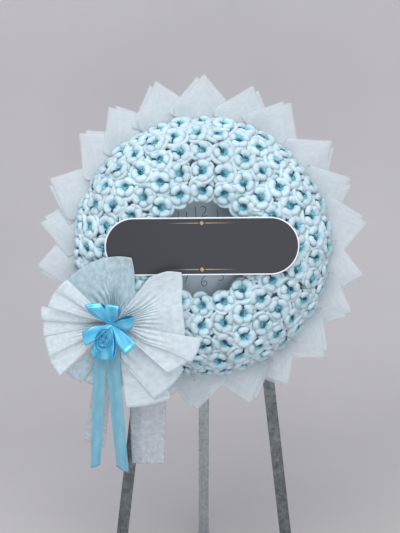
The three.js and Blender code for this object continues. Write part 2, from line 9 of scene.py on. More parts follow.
import bmesh
import bpy
from mathutils import Euler, Matrix, Vector

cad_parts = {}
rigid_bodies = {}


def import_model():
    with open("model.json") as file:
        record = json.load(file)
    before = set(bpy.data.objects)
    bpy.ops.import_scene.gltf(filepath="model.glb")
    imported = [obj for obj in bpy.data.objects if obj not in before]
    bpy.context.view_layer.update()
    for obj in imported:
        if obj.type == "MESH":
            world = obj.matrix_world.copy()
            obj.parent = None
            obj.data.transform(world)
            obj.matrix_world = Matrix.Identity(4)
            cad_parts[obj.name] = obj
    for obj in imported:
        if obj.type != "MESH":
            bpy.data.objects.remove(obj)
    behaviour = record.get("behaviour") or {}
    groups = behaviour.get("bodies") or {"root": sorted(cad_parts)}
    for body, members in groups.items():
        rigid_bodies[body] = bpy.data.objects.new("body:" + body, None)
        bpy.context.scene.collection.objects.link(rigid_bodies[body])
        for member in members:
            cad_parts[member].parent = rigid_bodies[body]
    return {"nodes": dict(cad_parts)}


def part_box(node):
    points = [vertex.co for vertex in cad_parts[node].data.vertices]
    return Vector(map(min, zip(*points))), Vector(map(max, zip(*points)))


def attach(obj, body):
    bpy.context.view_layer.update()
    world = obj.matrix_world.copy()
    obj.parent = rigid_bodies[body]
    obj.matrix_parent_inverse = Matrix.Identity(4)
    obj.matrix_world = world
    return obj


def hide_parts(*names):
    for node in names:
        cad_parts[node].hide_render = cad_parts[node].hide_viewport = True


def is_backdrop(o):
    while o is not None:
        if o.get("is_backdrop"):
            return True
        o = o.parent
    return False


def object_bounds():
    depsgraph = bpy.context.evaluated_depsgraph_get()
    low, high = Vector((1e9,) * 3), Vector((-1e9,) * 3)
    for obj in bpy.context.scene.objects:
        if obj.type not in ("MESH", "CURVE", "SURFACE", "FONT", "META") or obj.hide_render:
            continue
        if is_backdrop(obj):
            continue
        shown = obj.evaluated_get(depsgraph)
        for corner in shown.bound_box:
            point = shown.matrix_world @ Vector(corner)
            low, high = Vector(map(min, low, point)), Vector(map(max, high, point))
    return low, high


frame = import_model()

LOG = logging.getLogger("wreath")
MM = 0.001
CAD_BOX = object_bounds()

GOLDEN_TURN = 2.399  # radians from each of a spiral's points to the next, so that none line up

Node = bpy.types.Node
Tree = bpy.types.NodeTree
Profile = Sequence[tuple[float, float]]


# ---------------------------------------------------------------- small tools


def linear(code: str) -> tuple[float, float, float, float]:
    """Turns a colour code as a screen shows it into the renderer's light values.

    Args:
        code: Six hex digits, red first.

    Returns:
        Red, green, blue and 1.
    """
    parts = [int(code[i : i + 2], 16) / 255 for i in (0, 2, 4)]
    light = [p / 12.92 if p <= 0.04045 else ((p + 0.055) / 1.055) ** 2.4 for p in parts]
    return (*light, 1.0)


def add_node(
    tree: Tree, kind: str, inputs: dict | None = None, stops: Sequence = (), **settings: object
) -> Node:
    """Adds a node with its settings, its input values and its links.

    Args:
        tree: The shader or geometry tree.
        kind: The node's type name.
        inputs: Input name or number to a value, to an output socket, or to a node for its first output.
        stops: Place and colour code of each stop, for a colour ramp.
        settings: The node's own properties.

    Returns:
        The new node.
    """
    node = tree.nodes.new(kind)
    for name, value in settings.items():
        setattr(node, name, value)
    for name, value in (inputs or {}).items():
        if isinstance(value, Node):
            value = value.outputs[0]
        if isinstance(value, bpy.types.NodeSocket):
            tree.links.new(value, node.inputs[name])
        else:
            node.inputs[name].default_value = value
    for number, (place, code) in enumerate(stops):
        elements = node.color_ramp.elements
        element = elements[number] if number < 2 else elements.new(place)
        element.position = place
        element.color = linear(code)
    return node


def variation(number: float, kind: float) -> float:
    """A small, repeatable variation between -1 and 1 for the copies of a piece made by hand."""
    return math.sin(number * GOLDEN_TURN + kind * 1.7)


def smooth(value: float) -> float:
    """Eases a share from 0 to 1, and holds it at 0 or 1 outside."""
    value = min(1.0, max(0.0, value))
    return value * value * (3 - 2 * value)


def mix(start: float, end: float, share: float) -> float:
    """The value at a share of the way from start to end."""
    return start + (end - start) * share


def between(values: Sequence[float], share: float) -> float:
    """A value at a share of the way along evenly spaced values."""
    step = min(int(share * (len(values) - 1)), len(values) - 2)
    return mix(values[step], values[step + 1], share * (len(values) - 1) - step)


class Sketch:
    """A mesh that grows patch by patch. Each point also keeps its place on the flat cloth, in mm."""

    def __init__(self) -> None:
        """Starts with nothing drawn."""
        self.points: list[Vector] = []
        self.cloth: list[tuple[float, float, float]] = []
        self.faces: list[tuple[int, ...]] = []

    def grid(
        self,
        columns: int,
        rows: int,
        point: Callable[[float, float], Vector],
        cut: tuple[float, float] = (1.0, 1.0),
        start: float = 0.0,
    ) -> None:
        """Adds a patch of cloth.

        Args:
            columns: Faces across.
            rows: Faces along.
            point: The place of a point at its shares across and along, from 0 to 1.
            cut: Flat width and length of the patch in mm.
            start: Where the patch begins along the cut, in mm.
        """
        first = len(self.points)
        for j in range(rows + 1):
            for i in range(columns + 1):
                across, along = i / columns, j / rows
                self.points.append(point(across, along))
                self.cloth.append((across * cut[0], start + along * cut[1], 0.0))
        for j in range(rows):
            for i in range(columns):
                corner = first + j * (columns + 1) + i
                self.faces.append((corner, corner + 1, corner + columns + 2, corner + columns + 1))

    def made(self, name: str, place: Matrix, material: bpy.types.Material) -> bpy.types.Object:
        """Makes the object.

        Args:
            name: The piece's name.
            place: Takes the sketch's millimetres to the frame's metres.
            material: The piece's finish.

        Returns:
            The new object, which sits at the origin.
        """
        mesh = bpy.data.meshes.new(name)
        mesh.from_pydata([place @ p for p in self.points], [], self.faces)
        mesh.attributes.new("cloth", "FLOAT_VECTOR", "POINT").data.foreach_set(
            "vector", [value for place_on_cut in self.cloth for value in place_on_cut]
        )
        mesh.shade_smooth()
        mesh.materials.append(material)
        piece = bpy.data.objects.new(name, mesh)
        bpy.context.scene.collection.objects.link(piece)
        return piece


def thicken(piece: bpy.types.Object, thickness: float) -> None:
    """Gives a sheet its thickness, in mm, to both sides of its mesh."""
    wall = piece.modifiers.new("thickness", "SOLIDIFY")
    wall.thickness = thickness * MM
    wall.offset = 0.0


def settle(piece: bpy.types.Object, slot: str, *nodes: str, body: str = "root") -> None:
    """Fixes a finished piece to its body.

    Args:
        piece: The piece, in place.
        slot: The record's material slot of its finish; not used.
        nodes: The CAD nodes that it stands for.
        body: The body that carries it.
    """
    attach(piece, body)
    if nodes:
        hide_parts(*nodes)
    LOG.info("%s: %d faces, rides on %s", piece.name, len(piece.data.polygons), body)


def sheet_area(piece: bpy.types.Object) -> float:
    """The area of a sheet's mesh on one side, in square metres."""
    return sum(face.area for face in piece.data.polygons)


@dataclass(frozen=True)
class Leaning:
    """The wreath's own axes in mm: x to the right, y up the leaning board, z out to the front."""

    lean: float = math.radians(10.0)
    board_middle: float = 4.0

    def matrix(self) -> Matrix:
        """Takes the wreath's own millimetres to the frame's metres."""
        low, high = (Vector(corner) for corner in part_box("backing_board"))
        out = Vector((0.0, -math.cos(self.lean), math.sin(self.lean)))
        up = Vector((0.0, math.sin(self.lean), math.cos(self.lean)))
        origin = (low + high) / 2 - out * self.board_middle * MM
        turn = Matrix((Vector((1, 0, 0)), up, out)).transposed().to_4x4()
        return Matrix.Translation(origin) @ turn @ Matrix.Scale(MM, 4)


WREATH = Leaning()


# ---------------------------------------------------------------- finishes


@dataclass(frozen=True)
class Finish:
    """A finish with a fine grain: two close tones, with the same grain in its gloss and its relief."""

    name: str
    light: str
    dark: str
    grain: float = 2.0  # mm
    roughness: float = 0.6
    spread: float = 0.06
    relief: float = 0.03  # mm
    metallic: float = 0.0
    stretch: tuple[float, float, float] = (1.0, 1.0, 1.0)
    turn: tuple[float, float, float] = (0.0, 0.0, 0.0)

    def material(self) -> bpy.types.Material:
        """The finish as a material, made the first time it is asked for."""
        made = bpy.data.materials.get(self.name)
        if made is None:
            made = bpy.data.materials.new(self.name)
            made.use_nodes = True
            made.node_tree.nodes.clear()
            add_node(made.node_tree, "ShaderNodeOutputMaterial", {"Surface": self.shader(made.node_tree)})
        return made

    def grain_of(self, tree: Tree, size: float, detail: float = 3.0) -> Node:
        """A grain of one size in mm, stretched and turned as the finish says.

        Args:
            tree: The material's tree.
            size: Size of the grain in mm.
            detail: How many finer grains lie over it.

        Returns:
            The grain's node.
        """
        place = add_node(tree, "ShaderNodeTexCoord").outputs["Object"]
        turned = add_node(tree, "ShaderNodeMapping", {"Vector": place, "Rotation": self.turn})
        scaled = add_node(tree, "ShaderNodeMapping", {"Vector": turned, "Scale": self.stretch})
        return add_node(tree, "ShaderNodeTexNoise", {"Vector": scaled, "Scale": 1 / (size * MM), "Detail": detail})

    def tones(self, low: float = 0.3, high: float = 0.7) -> Profile:
        """The ramp from the dark tone to the light one."""
        return ((low, self.dark), (high, self.light))

    def gloss_of(self, grain: Node) -> dict[str, object]:
        """The inputs that spread a grain over the finish's roughness."""
        return {"Value": grain, "To Min": self.roughness - self.spread, "To Max": self.roughness + self.spread}

    def shader(self, tree: Tree) -> Node:
        """Builds the finish.

        Args:
            tree: The material's tree.

        Returns:
            The shader's last node.
        """
        grain = self.grain_of(tree, self.grain)
        tone = add_node(tree, "ShaderNodeValToRGB", {"Fac": grain}, self.tones())
        gloss = add_node(tree, "ShaderNodeMapRange", self.gloss_of(grain))
        relief = add_node(tree, "ShaderNodeBump", {"Height": grain, "Distance": self.relief * MM})
        look = {"Base Color": tone, "Roughness": gloss, "Normal": relief, "Metallic": self.metallic}
        return add_node(tree, "ShaderNodeBsdfPrincipled", look)


@dataclass(frozen=True)
class PetalFabric(Finish):
    """Heat-formed petal fabric: near white on the rolled rims, with painted shade that deepens it to blue-green down
    in the throat.
    """

    # painted shade: the deep blue-green at the bottom of the throat
    throat: str = "1C6F8C"
    wall: str = "84C2D6"
    cloud: float = 14.0  # mm
    see_through: float = 0.18  # share of the light that comes through the cloth

    def shader(self, tree: Tree) -> Node:
        """Builds the finish from each point's depth in its flower and each flower's own tone."""
        depth = add_node(tree, "ShaderNodeAttribute", attribute_name="depth").outputs["Fac"]
        tone = add_node(tree, "ShaderNodeAttribute", attribute_name="tone").outputs["Fac"]
        cloud = self.grain_of(tree, self.cloud)
        fibre = self.grain_of(tree, self.grain)
        drift = add_node(tree, "ShaderNodeMapRange", {"Value": cloud, "To Min": -0.1, "To Max": 0.1})
        height = add_node(tree, "ShaderNodeMath", {0: depth, 1: drift}, operation="ADD", use_clamp=True)
        # painted shade: the tone darkens from the rims down into the throat
        tones = ((0.0, self.throat), (0.9, self.light), (0.3, self.wall), (0.55, self.dark))
        colour = add_node(tree, "ShaderNodeValToRGB", {"Fac": height}, tones)
        warmth = add_node(tree, "ShaderNodeMapRange", {"Value": tone, "To Min": 0.9, "To Max": 1.06})
        shaded = add_node(tree, "ShaderNodeVectorMath", {0: colour, "Scale": warmth}, operation="SCALE")
        relief = add_node(tree, "ShaderNodeBump", {"Height": fibre, "Distance": self.relief * MM})
        look = {"Base Color": shaded, "Roughness": self.roughness, "Normal": relief, "Sheen Weight": 0.15}
        cloth = add_node(tree, "ShaderNodeBsdfPrincipled", look)
        glow = add_node(tree, "ShaderNodeBsdfTranslucent", {"Color": shaded})
        return add_node(tree, "ShaderNodeMixShader", {"Fac": self.see_through, 1: cloth, 2: glow})


@dataclass(frozen=True)
class ClothFinish(Finish):
    """A woven or bonded cloth, whose grain follows the cloth itself."""

    def on_cloth(self, tree: Tree, size: tuple[float, float], detail: float = 3.0) -> Node:
        """A grain that lies on the flat cloth.

        Args:
            tree: The material's tree.
            size: Size of the grain across and along the cloth, in mm.
            detail: How many finer grains lie over it.

        Returns:
            The grain's node.
        """
        place = add_node(tree, "ShaderNodeAttribute", attribute_name="cloth").outputs["Vector"]
        scale = (1 / size[0], 1 / size[1], 1.0)
        scaled = add_node(tree, "ShaderNodeMapping", {"Vector": place, "Scale": scale})
        return add_node(tree, "ShaderNodeTexNoise", {"Vector": scaled, "Scale": 1.0, "Detail": detail})


@dataclass(frozen=True)
class NonWoven(ClothFinish):
    """Thin bonded fabric: cloudy fibres, small bond points, and light through every layer."""

    cover: tuple[float, float] = (0.5, 0.86)  # share of the thin and of the dense cloth that fibres fill
    bond: float = 1.4  # mm between bond points
    cloud: tuple[float, float] = (16.0, 16.0)  # mm
    fibre: tuple[float, float] = (0.5, 2.2)  # mm
    fibre_relief: float = 0.008  # mm
    bond_relief: float = 0.03  # mm
    see_through: float = 0.4  # share of the light that comes through the fibres

    def shader(self, tree: Tree) -> Node:
        """Builds the finish from clouds of fibre, fine fibres and rows of bond points."""
        cloud = self.on_cloth(tree, self.cloud, 5.0)
        fibre = self.on_cloth(tree, self.fibre)
        place = add_node(tree, "ShaderNodeAttribute", attribute_name="cloth").outputs["Vector"]
        bonds = {"Vector": place, "Scale": 1 / self.bond, "Randomness": 0.15}
        spots = add_node(tree, "ShaderNodeTexVoronoi", bonds)
        tone = add_node(tree, "ShaderNodeValToRGB", {"Fac": cloud}, self.tones(0.3, 0.68))
        thin, dense = self.cover
        filled = {"Value": cloud, "From Min": 0.3, "From Max": 0.7, "To Min": thin, "To Max": dense}
        cover = add_node(tree, "ShaderNodeMapRange", filled)
        coarse = add_node(tree, "ShaderNodeBump", {"Height": fibre, "Distance": self.fibre_relief * MM})
        points = {"Height": spots, "Distance": self.bond_relief * MM, "Normal": coarse}
        relief = add_node(tree, "ShaderNodeBump", points)
        look = {"Base Color": tone, "Roughness": self.roughness, "Normal": relief, "Sheen Weight": 0.2}
        skin = add_node(tree, "ShaderNodeBsdfPrincipled", look)
        glow = add_node(tree, "ShaderNodeBsdfTranslucent", {"Color": tone, "Normal": relief})
        cloth = add_node(tree, "ShaderNodeMixShader", {"Fac": self.see_through, 1: skin, 2: glow})
        clear = add_node(tree, "ShaderNodeBsdfTransparent")
        return add_node(tree, "ShaderNodeMixShader", {"Fac": cover, 1: clear, 2: cloth})


@dataclass(frozen=True)
class SatinRibbon(ClothFinish):
    """Satin ribbon: long floats along its length that catch a soft band of light, with fine cross ribs."""

    glow: float = 0.15  # share of the light that comes through the ribbon
    floats: tuple[float, float] = (0.4, 26.0)  # mm
    cloud: tuple[float, float] = (22.0, 60.0)  # mm: the patches of painted highlight and painted shade

    def shader(self, tree: Tree) -> Node:
        """Builds the finish from the long floats and the ribs between them."""
        floats = self.on_cloth(tree, self.floats)
        cloud = self.on_cloth(tree, self.cloud, 2.0)
        # painted highlight and shade, in clouds along the ribbon
        tone = add_node(tree, "ShaderNodeValToRGB", {"Fac": cloud}, self.tones())
        relief = add_node(tree, "ShaderNodeBump", {"Height": floats, "Distance": self.relief * MM})
        gloss = add_node(tree, "ShaderNodeMapRange", self.gloss_of(floats))
        look = {"Base Color": tone, "Roughness": gloss, "Normal": relief, "Metallic": self.metallic}
        shine = {"Sheen Weight": 0.2, "Specular IOR Level": 0.8, "Coat Weight": 0.3, "Coat Roughness": 0.22}
        skin = add_node(tree, "ShaderNodeBsdfPrincipled", look | shine)
        light = add_node(tree, "ShaderNodeBsdfTranslucent", {"Color": tone})
        return add_node(tree, "ShaderNodeMixShader", {"Fac": self.glow, 1: skin, 2: light})


@dataclass(frozen=True)
class Beaded(Finish):
    """Small glossy beads, some bright and some in deep shade."""

    def shader(self, tree: Tree) -> Node:
        """Builds the finish with a tone for each bead."""
        tone = add_node(tree, "ShaderNodeAttribute", attribute_name="depth").outputs["Fac"]
        colour = add_node(tree, "ShaderNodeValToRGB", {"Fac": tone}, self.tones(0.0, 1.0))
        look = {"Base Color": colour, "Roughness": self.roughness, "Coat Weight": 0.3}
        return add_node(tree, "ShaderNodeBsdfPrincipled", look)


@dataclass(frozen=True)
class ClearLens(Finish):
    """A clear flat lens: almost nothing face on, a soft shine at a slant."""

    def shader(self, tree: Tree) -> Node:
        """Builds the finish from a clear body and a faint shine."""
        shine = add_node(tree, "ShaderNodeFresnel", {"IOR": 1.3})
        clear = add_node(tree, "ShaderNodeBsdfTransparent", {"Color": linear(self.light)})
        gloss = add_node(tree, "ShaderNodeBsdfGlossy", {"Color": linear(self.dark), "Roughness": self.roughness})
        return add_node(tree, "ShaderNodeMixShader", {"Fac": shine, 1: clear, 2: gloss})


@dataclass(frozen=True)
class Galvanised(Finish):
    """Hot-dipped steel tube: grey spangle, faint drawn lines along the tube and a few dull marks."""

    spangle: float = 7.0  # mm
    mark: float = 22.0  # mm

    def shader(self, tree: Tree) -> Node:
        """Builds the finish from spangle, drawn lines and marks."""
        place = add_node(tree, "ShaderNodeTexCoord").outputs["Object"]
        cells = {"Vector": place, "Scale": 1 / (self.spangle * MM)}
        spangle = add_node(tree, "ShaderNodeTexVoronoi", cells).outputs["Color"]
        facet = add_node(tree, "ShaderNodeSeparateColor", {"Color": spangle})
        lines = self.grain_of(tree, self.grain, 4.0)
        tone = add_node(tree, "ShaderNodeMath", {0: facet, 1: 0.35, 2: lines}, operation="MULTIPLY_ADD")
        colour = add_node(tree, "ShaderNodeValToRGB", {"Fac": tone}, self.tones(0.35, 0.95))
        worn = {"Vector": place, "Scale": 1 / (self.mark * MM), "Detail": 6.0, "Roughness": 0.7}
        marks = add_node(tree, "ShaderNodeTexNoise", worn)
        dulled = {"Value": marks, "From Min": 0.35, "From Max": 0.7, "To Min": 0.34, "To Max": 0.62}
        gloss = add_node(tree, "ShaderNodeMapRange", dulled)
        relief = add_node(tree, "ShaderNodeBump", {"Height": lines, "Distance": self.relief * MM})
        look = {"Base Color": colour, "Roughness": gloss, "Normal": relief, "Metallic": self.metallic}
        return add_node(tree, "ShaderNodeBsdfPrincipled", look)


@dataclass(frozen=True)
class CellFoam(Finish):
    """Pressed bead foam: close round cells with a fine line round each."""

    def shader(self, tree: Tree) -> Node:
        """Builds the finish from its cells."""
        place = add_node(tree, "ShaderNodeTexCoord").outputs["Object"]
        cell = add_node(tree, "ShaderNodeTexVoronoi", {"Vector": place, "Scale": 1 / (self.grain * MM)})
        stops = ((0.25, self.light), (0.8, self.dark))
        colour = add_node(tree, "ShaderNodeValToRGB", {"Fac": cell}, stops)
        relief = add_node(tree, "ShaderNodeBump", {"Height": cell, "Distance": self.relief * MM}, invert=True)
        look = {"Base Color": colour, "Roughness": self.roughness, "Normal": relief}
        return add_node(tree, "ShaderNodeBsdfPrincipled", look)


@dataclass(frozen=True)
class StudioPaper(Finish):
    """Plain paper that shows from its front alone, so that the wreath's back can be looked at too."""

    def shader(self, tree: Tree) -> Node:
        """Builds the finish, open to a look from behind."""
        paper = super().shader(tree)
        behind = add_node(tree, "ShaderNodeNewGeometry").outputs["Backfacing"]
        look = add_node(tree, "ShaderNodeLightPath").outputs["Is Camera Ray"]
        open_share = add_node(tree, "ShaderNodeMath", {0: behind, 1: look}, operation="MULTIPLY")
        clear = add_node(tree, "ShaderNodeBsdfTransparent")
        return add_node(tree, "ShaderNodeMixShader", {"Fac": open_share, 1: paper, 2: clear})


# Each finish and what it gives the eye.
PETALS = PetalFabric("petal_fabric", "C6DAE2", "A2C9D7", grain=0.8, roughness=0.72, relief=0.05)  # soft pale rims
BEADS = Beaded("glazed_beads", "86DDEC", "0C5C74", roughness=0.3)  # sparks in each throat
COLLAR = NonWoven("collar_nonwoven", "DFE6EA", "D8E1E6", roughness=0.8, cover=(0.44, 0.5))  # misty layers
BOW = NonWoven("bow_nonwoven", "EAF1F4", "DDE8ED", roughness=0.75, cover=(0.7, 0.86))  # denser, cloudy
BOW_BACK_SHADED = NonWoven("bow_nonwoven_back", "D5E4EA", "BFD4DD", roughness=0.75, cover=(0.6, 0.84))  # thinner, with darker tones as painted shade on the back strip
TAIL = NonWoven("tail_nonwoven", "D8DEE3", "C0C8D0", roughness=0.8, cover=(0.4, 0.72))  # thin, grey in shade
# Cloudy patches of painted highlight and painted shade: bright folds, deep blue inside.
SATIN = SatinRibbon("satin_face", "82E3FA", "14A6DA", roughness=0.24, spread=0.05, relief=0.02, metallic=0.35)
# The ribbon's reverse, duller in gloss, with its tones dulled and greyed as painted shade on the hanging tails.
SATIN_BACK_SHADED = SatinRibbon("satin_back", "8BC6D8", "72B2C9", roughness=0.42, spread=0.06, relief=0.03, glow=0.3)
BOARD_WHITE = Finish("white_acrylic", "D9DEE6", "CFD5DE", grain=3.0, roughness=0.35, relief=0.01)  # clean edge
CHARCOAL = Finish("charcoal_film", "1B1E26", "171A22", grain=1.2, roughness=0.5, relief=0.01)  # even, dull dark
GOLD = Finish("gold_print", "A98E62", "8C7450", grain=0.6, roughness=0.4, relief=0.01, metallic=0.6)  # fine gilt
DIAL = Finish("dial_card", "F4F8FB", "EAF0F5", grain=1.0, roughness=0.7, relief=0.02)  # pale printed card
INK = Finish("numeral_print", "8C93A0", "7E8592", grain=0.5, roughness=0.6, relief=0.005)  # thin grey strokes
LENS = ClearLens("clear_lens", "FAFCFD", "FFFFFF", roughness=0.08)  # a faint sheen over the dial
CASE = Finish("case_plastic", "D9DDE2", "CFD4DA", grain=0.7, roughness=0.45, relief=0.02)  # moulded, pale
MOVEMENT = Finish("movement_plastic", "2B2D31", "222428", grain=0.6, roughness=0.5, relief=0.02)  # black box
# Dark hands with a small shine along their edges.
HANDS = Finish("hand_enamel", "2E3138", "25282E", grain=0.8, roughness=0.35, relief=0.005, metallic=0.3)
FOAM = CellFoam("bead_foam", "DCE9EE", "B4CDD8", grain=3.6, roughness=0.85, relief=0.25)  # cell by cell
# Long pale grain.
PLY = Finish("plywood", "CDB08A", "B4946C", grain=2.4, roughness=0.7, relief=0.06, stretch=(1.0, 0.06, 0.06))
# Bright, nearly even metal on the small fittings.
ZINC = Finish("zinc_plate", "C4C6C3", "A9ACA9", grain=1.5, roughness=0.38, relief=0.01, metallic=1.0)
RUBBER = Finish("shoe_rubber", "26272A", "1C1D20", grain=0.9, roughness=0.8, relief=0.06)  # dull black


class Leg(Enum):
    """The easel's legs: each one's node, how its drawn lines lie, and its light and dark tones, which paint how each
    leg is lit: darker on the front legs as painted shade, paler on the rear one as painted light.
    """

    # one steel in painted light and shade: darker tones on the front legs, paler on the rear leg
    LEFT = ("easel_leg_left", (math.radians(8.0), math.radians(6.5), 0.0), "606467", "424548")
    RIGHT = ("easel_leg_right", (math.radians(8.0), math.radians(-6.5), 0.0), "606467", "424548")
    REAR = ("easel_leg_rear", (math.radians(-4.0), 0.0, 0.0), "B2B8BA", "8C9396")

    def finish(self) -> Galvanised:
        """The steel of this leg: a dull shine that runs along the tube."""
        node, turn, light, dark = self.value
        return Galvanised(
            f"galvanised_{node}",
            light,
            dark,
            grain=1.6,
            roughness=0.45,
            relief=0.08,
            metallic=0.85,
            stretch=(1.0, 1.0, 0.012),
            turn=turn,
        )


# ---------------------------------------------------------------- flowers


@dataclass
class Flower:
    """One flower: petals that rise from a narrow throat, roll out at the rim and shelter a tuft of beads."""

    number: int
    petals: int = 4
    # Radius and height along a petal, from the throat over the rolled rim, in mm.
    inner: Profile = (
        (7.4, -20.0), (8.8, -11.0), (12.0, -4.4), (17.4, -0.9), (23.8, -0.4), (29.4, -4.0), (30.2, -11.0)
    )
    outer: Profile = (
        (17.0, -21.0), (22.0, -15.0), (27.4, -10.2), (32.4, -7.0), (36.8, -8.0), (39.0, -12.5), (37.8, -18.5)
    )
    # Tone along the profile: painted shade low in the throat and under the rolled rim, pale on the rim.
    depths: Sequence[float] = (0.0, 0.26, 0.6, 0.84, 0.98, 1.0, 0.72)
    columns: int = 7
    thickness: float = 0.8
    widths: tuple[float, float] = (0.84, 1.08)  # of a petal in the throat and at the rim, as a share of its part
    lobe: tuple[float, float] = (0.06, 0.22)  # how far its sides draw in, over all and at the corners
    droop: tuple[float, float] = (3.4, 6.0)  # mm that its sides fall, over all and at the corners
    lift: float = 3.0  # mm that one side stands over the other
    by_hand: tuple[float, float, float, float] = (0.16, 0.07, 0.12, 2.8)  # in its angle, rim, throat and height
    shade: float = 0.34  # painted shade: how much deeper the tone is at a petal's sides
    beads: int = 22
    tuft: float = 10.4
    bead: float = 1.9
    crown: tuple[float, float, float] = (6.5, 2.0, 2.6)  # mm: the middle bead's depth, the fall outwards, by hand
    stem: tuple[float, float, float] = (24.0, 0.45, 0.45)  # the foot's depth and its share of the spread, the radius

    def petal_point(self, petal: int, across: float, row: int, under: bool) -> Vector:
        """A point of a petal.

        Args:
            petal: Which petal, the inner ring first.
            across: From -1 at one edge to 1 at the other.
            row: Which point of the profile.
            under: Whether it lies on the petal's lower face.

        Returns:
            The point, with the flower's face at height 0.
        """
        is_outer = petal >= self.petals
        radius, height = (self.outer if is_outer else self.inner)[row]
        share = row / (len(self.inner) - 1)
        key = self.number * 7.3 + petal * 1.7  # no two petals share one
        turned, wider, deeper, higher = self.by_hand
        half = math.pi / self.petals * mix(*self.widths, smooth(share * 1.6))
        first = 0.5 if is_outer else 0.0
        angle = 2 * math.pi * (petal + first) / self.petals + across * half + turned * variation(key, 1)
        broad, corner = self.lobe
        lobe = 1 - broad * across**2 * share - corner * across**4 * share
        radius *= lobe * (1 + wider * variation(key, 2) * share) * (1 + deeper * variation(key, 6) * (1 - share))
        broad, corner = self.droop
        height += share * (self.lift * across + higher * variation(key, 3) - broad * across**2 - corner * across**6)
        if under:
            radius -= self.thickness * (0.6 if row > 3 else -0.6)
            height -= self.thickness
        return Vector((math.cos(angle) * radius, math.sin(angle) * radius, height))

    def add_petal(self, petal: int, points: list[Vector], faces: list[tuple[int, ...]], depth: list[float]) -> None:
        """Adds a petal as a thin closed shell."""
        rows = len(self.inner)
        first = len(points)
        for under in (False, True):
            for row in range(rows):
                for column in range(self.columns + 1):
                    across = 2 * column / self.columns - 1
                    points.append(self.petal_point(petal, across, row, under))
                    # painted shade, deepest in the throat and at the petal's sides
                    depth.append(self.depths[row] * (1 - self.shade * abs(across) ** 5))
        wide = self.columns + 1
        below = rows * wide

        def at(column: int, row: int, side: int) -> int:
            """The number of a point of the shell."""
            return first + side * below + row * wide + column

        for row in range(rows - 1):
            for column in range(self.columns):
                ring = ((column, row), (column + 1, row), (column + 1, row + 1), (column, row + 1))
                faces.append(tuple(at(c, r, 0) for c, r in ring))
                faces.append(tuple(at(c, r, 1) for c, r in reversed(ring)))
        edge = [(c, 0) for c in range(self.columns)] + [(self.columns, r) for r in range(rows - 1)]
        edge += [(c, rows - 1) for c in range(self.columns, 0, -1)] + [(0, r) for r in range(rows - 1, 0, -1)]
        for start, end in zip(edge, edge[1:] + edge[:1]):
            faces.append((at(*start, 1), at(*end, 1), at(*end, 0), at(*start, 0)))

    def add_bead(self, number: int, sphere: bmesh.types.BMesh, points: list, faces: list, depth: list) -> None:
        """Adds a bead on its thin stem."""
        share = math.sqrt((number + 0.5) / self.beads)
        angle = number * GOLDEN_TURN + self.number
        out = Vector((math.cos(angle), math.sin(angle), 0.0)) * share * self.tuft
        key = self.number * 3.1 + number
        middle, fall, uneven = self.crown
        top = out + Vector((0, 0, -middle - fall * share + uneven * variation(key, 4)))
        low, close, thin = self.stem
        foot = out * close + Vector((0, 0, -low))
        tone = 0.5 + 0.5 * variation(key, 5)
        first = len(points)
        points.extend(top + v.co for v in sphere.verts)
        faces.extend(tuple(first + v.index for v in f.verts) for f in sphere.faces)
        stem = len(points)
        corners = [Vector((math.cos(a), math.sin(a), 0)) * thin for a in (0.0, 2.1, 4.2)]
        points.extend([foot + c for c in corners] + [top + c for c in corners])
        faces.extend((stem + i, stem + (i + 1) % 3, stem + 3 + (i + 1) % 3, stem + 3 + i) for i in range(3))
        faces.extend(((stem + 2, stem + 1, stem), (stem + 3, stem + 4, stem + 5)))
        depth.extend([tone] * (len(points) - first))

    def made(self) -> bpy.types.Object:
        """The flower as an object, with each point's depth and which faces are beads."""
        points: list[Vector] = []
        faces: list[tuple[int, ...]] = []
        depth: list[float] = []
        for petal in range(2 * self.petals):
            self.add_petal(petal, points, faces, depth)
        petals = len(faces)
        sphere = bmesh.new()
        bmesh.ops.create_icosphere(sphere, subdivisions=1, radius=self.bead)
        sphere.verts.ensure_lookup_table()
        for number in range(self.beads):
            self.add_bead(number, sphere, points, faces, depth)
        sphere.free()
        mesh = bpy.data.meshes.new(f"flower_{self.number}")
        mesh.from_pydata(points, [], faces)
        mesh.attributes.new("depth", "FLOAT", "POINT").data.foreach_set("value", depth)
        is_bead = [number >= petals for number in range(len(faces))]
        mesh.attributes.new("bead", "BOOLEAN", "FACE").data.foreach_set("value", is_bead)
        mesh.shade_smooth()
        return bpy.data.objects.new(mesh.name, mesh)


@dataclass(frozen=True)
class FlowerRow:
    """One row of flowers round the ring: its circle, its turn outwards and how many flowers it holds."""

    node: str
    radius: float
    height: float
    turn: float  # degrees
    count: int
    stagger: float  # share of the pitch by which the row is turned on


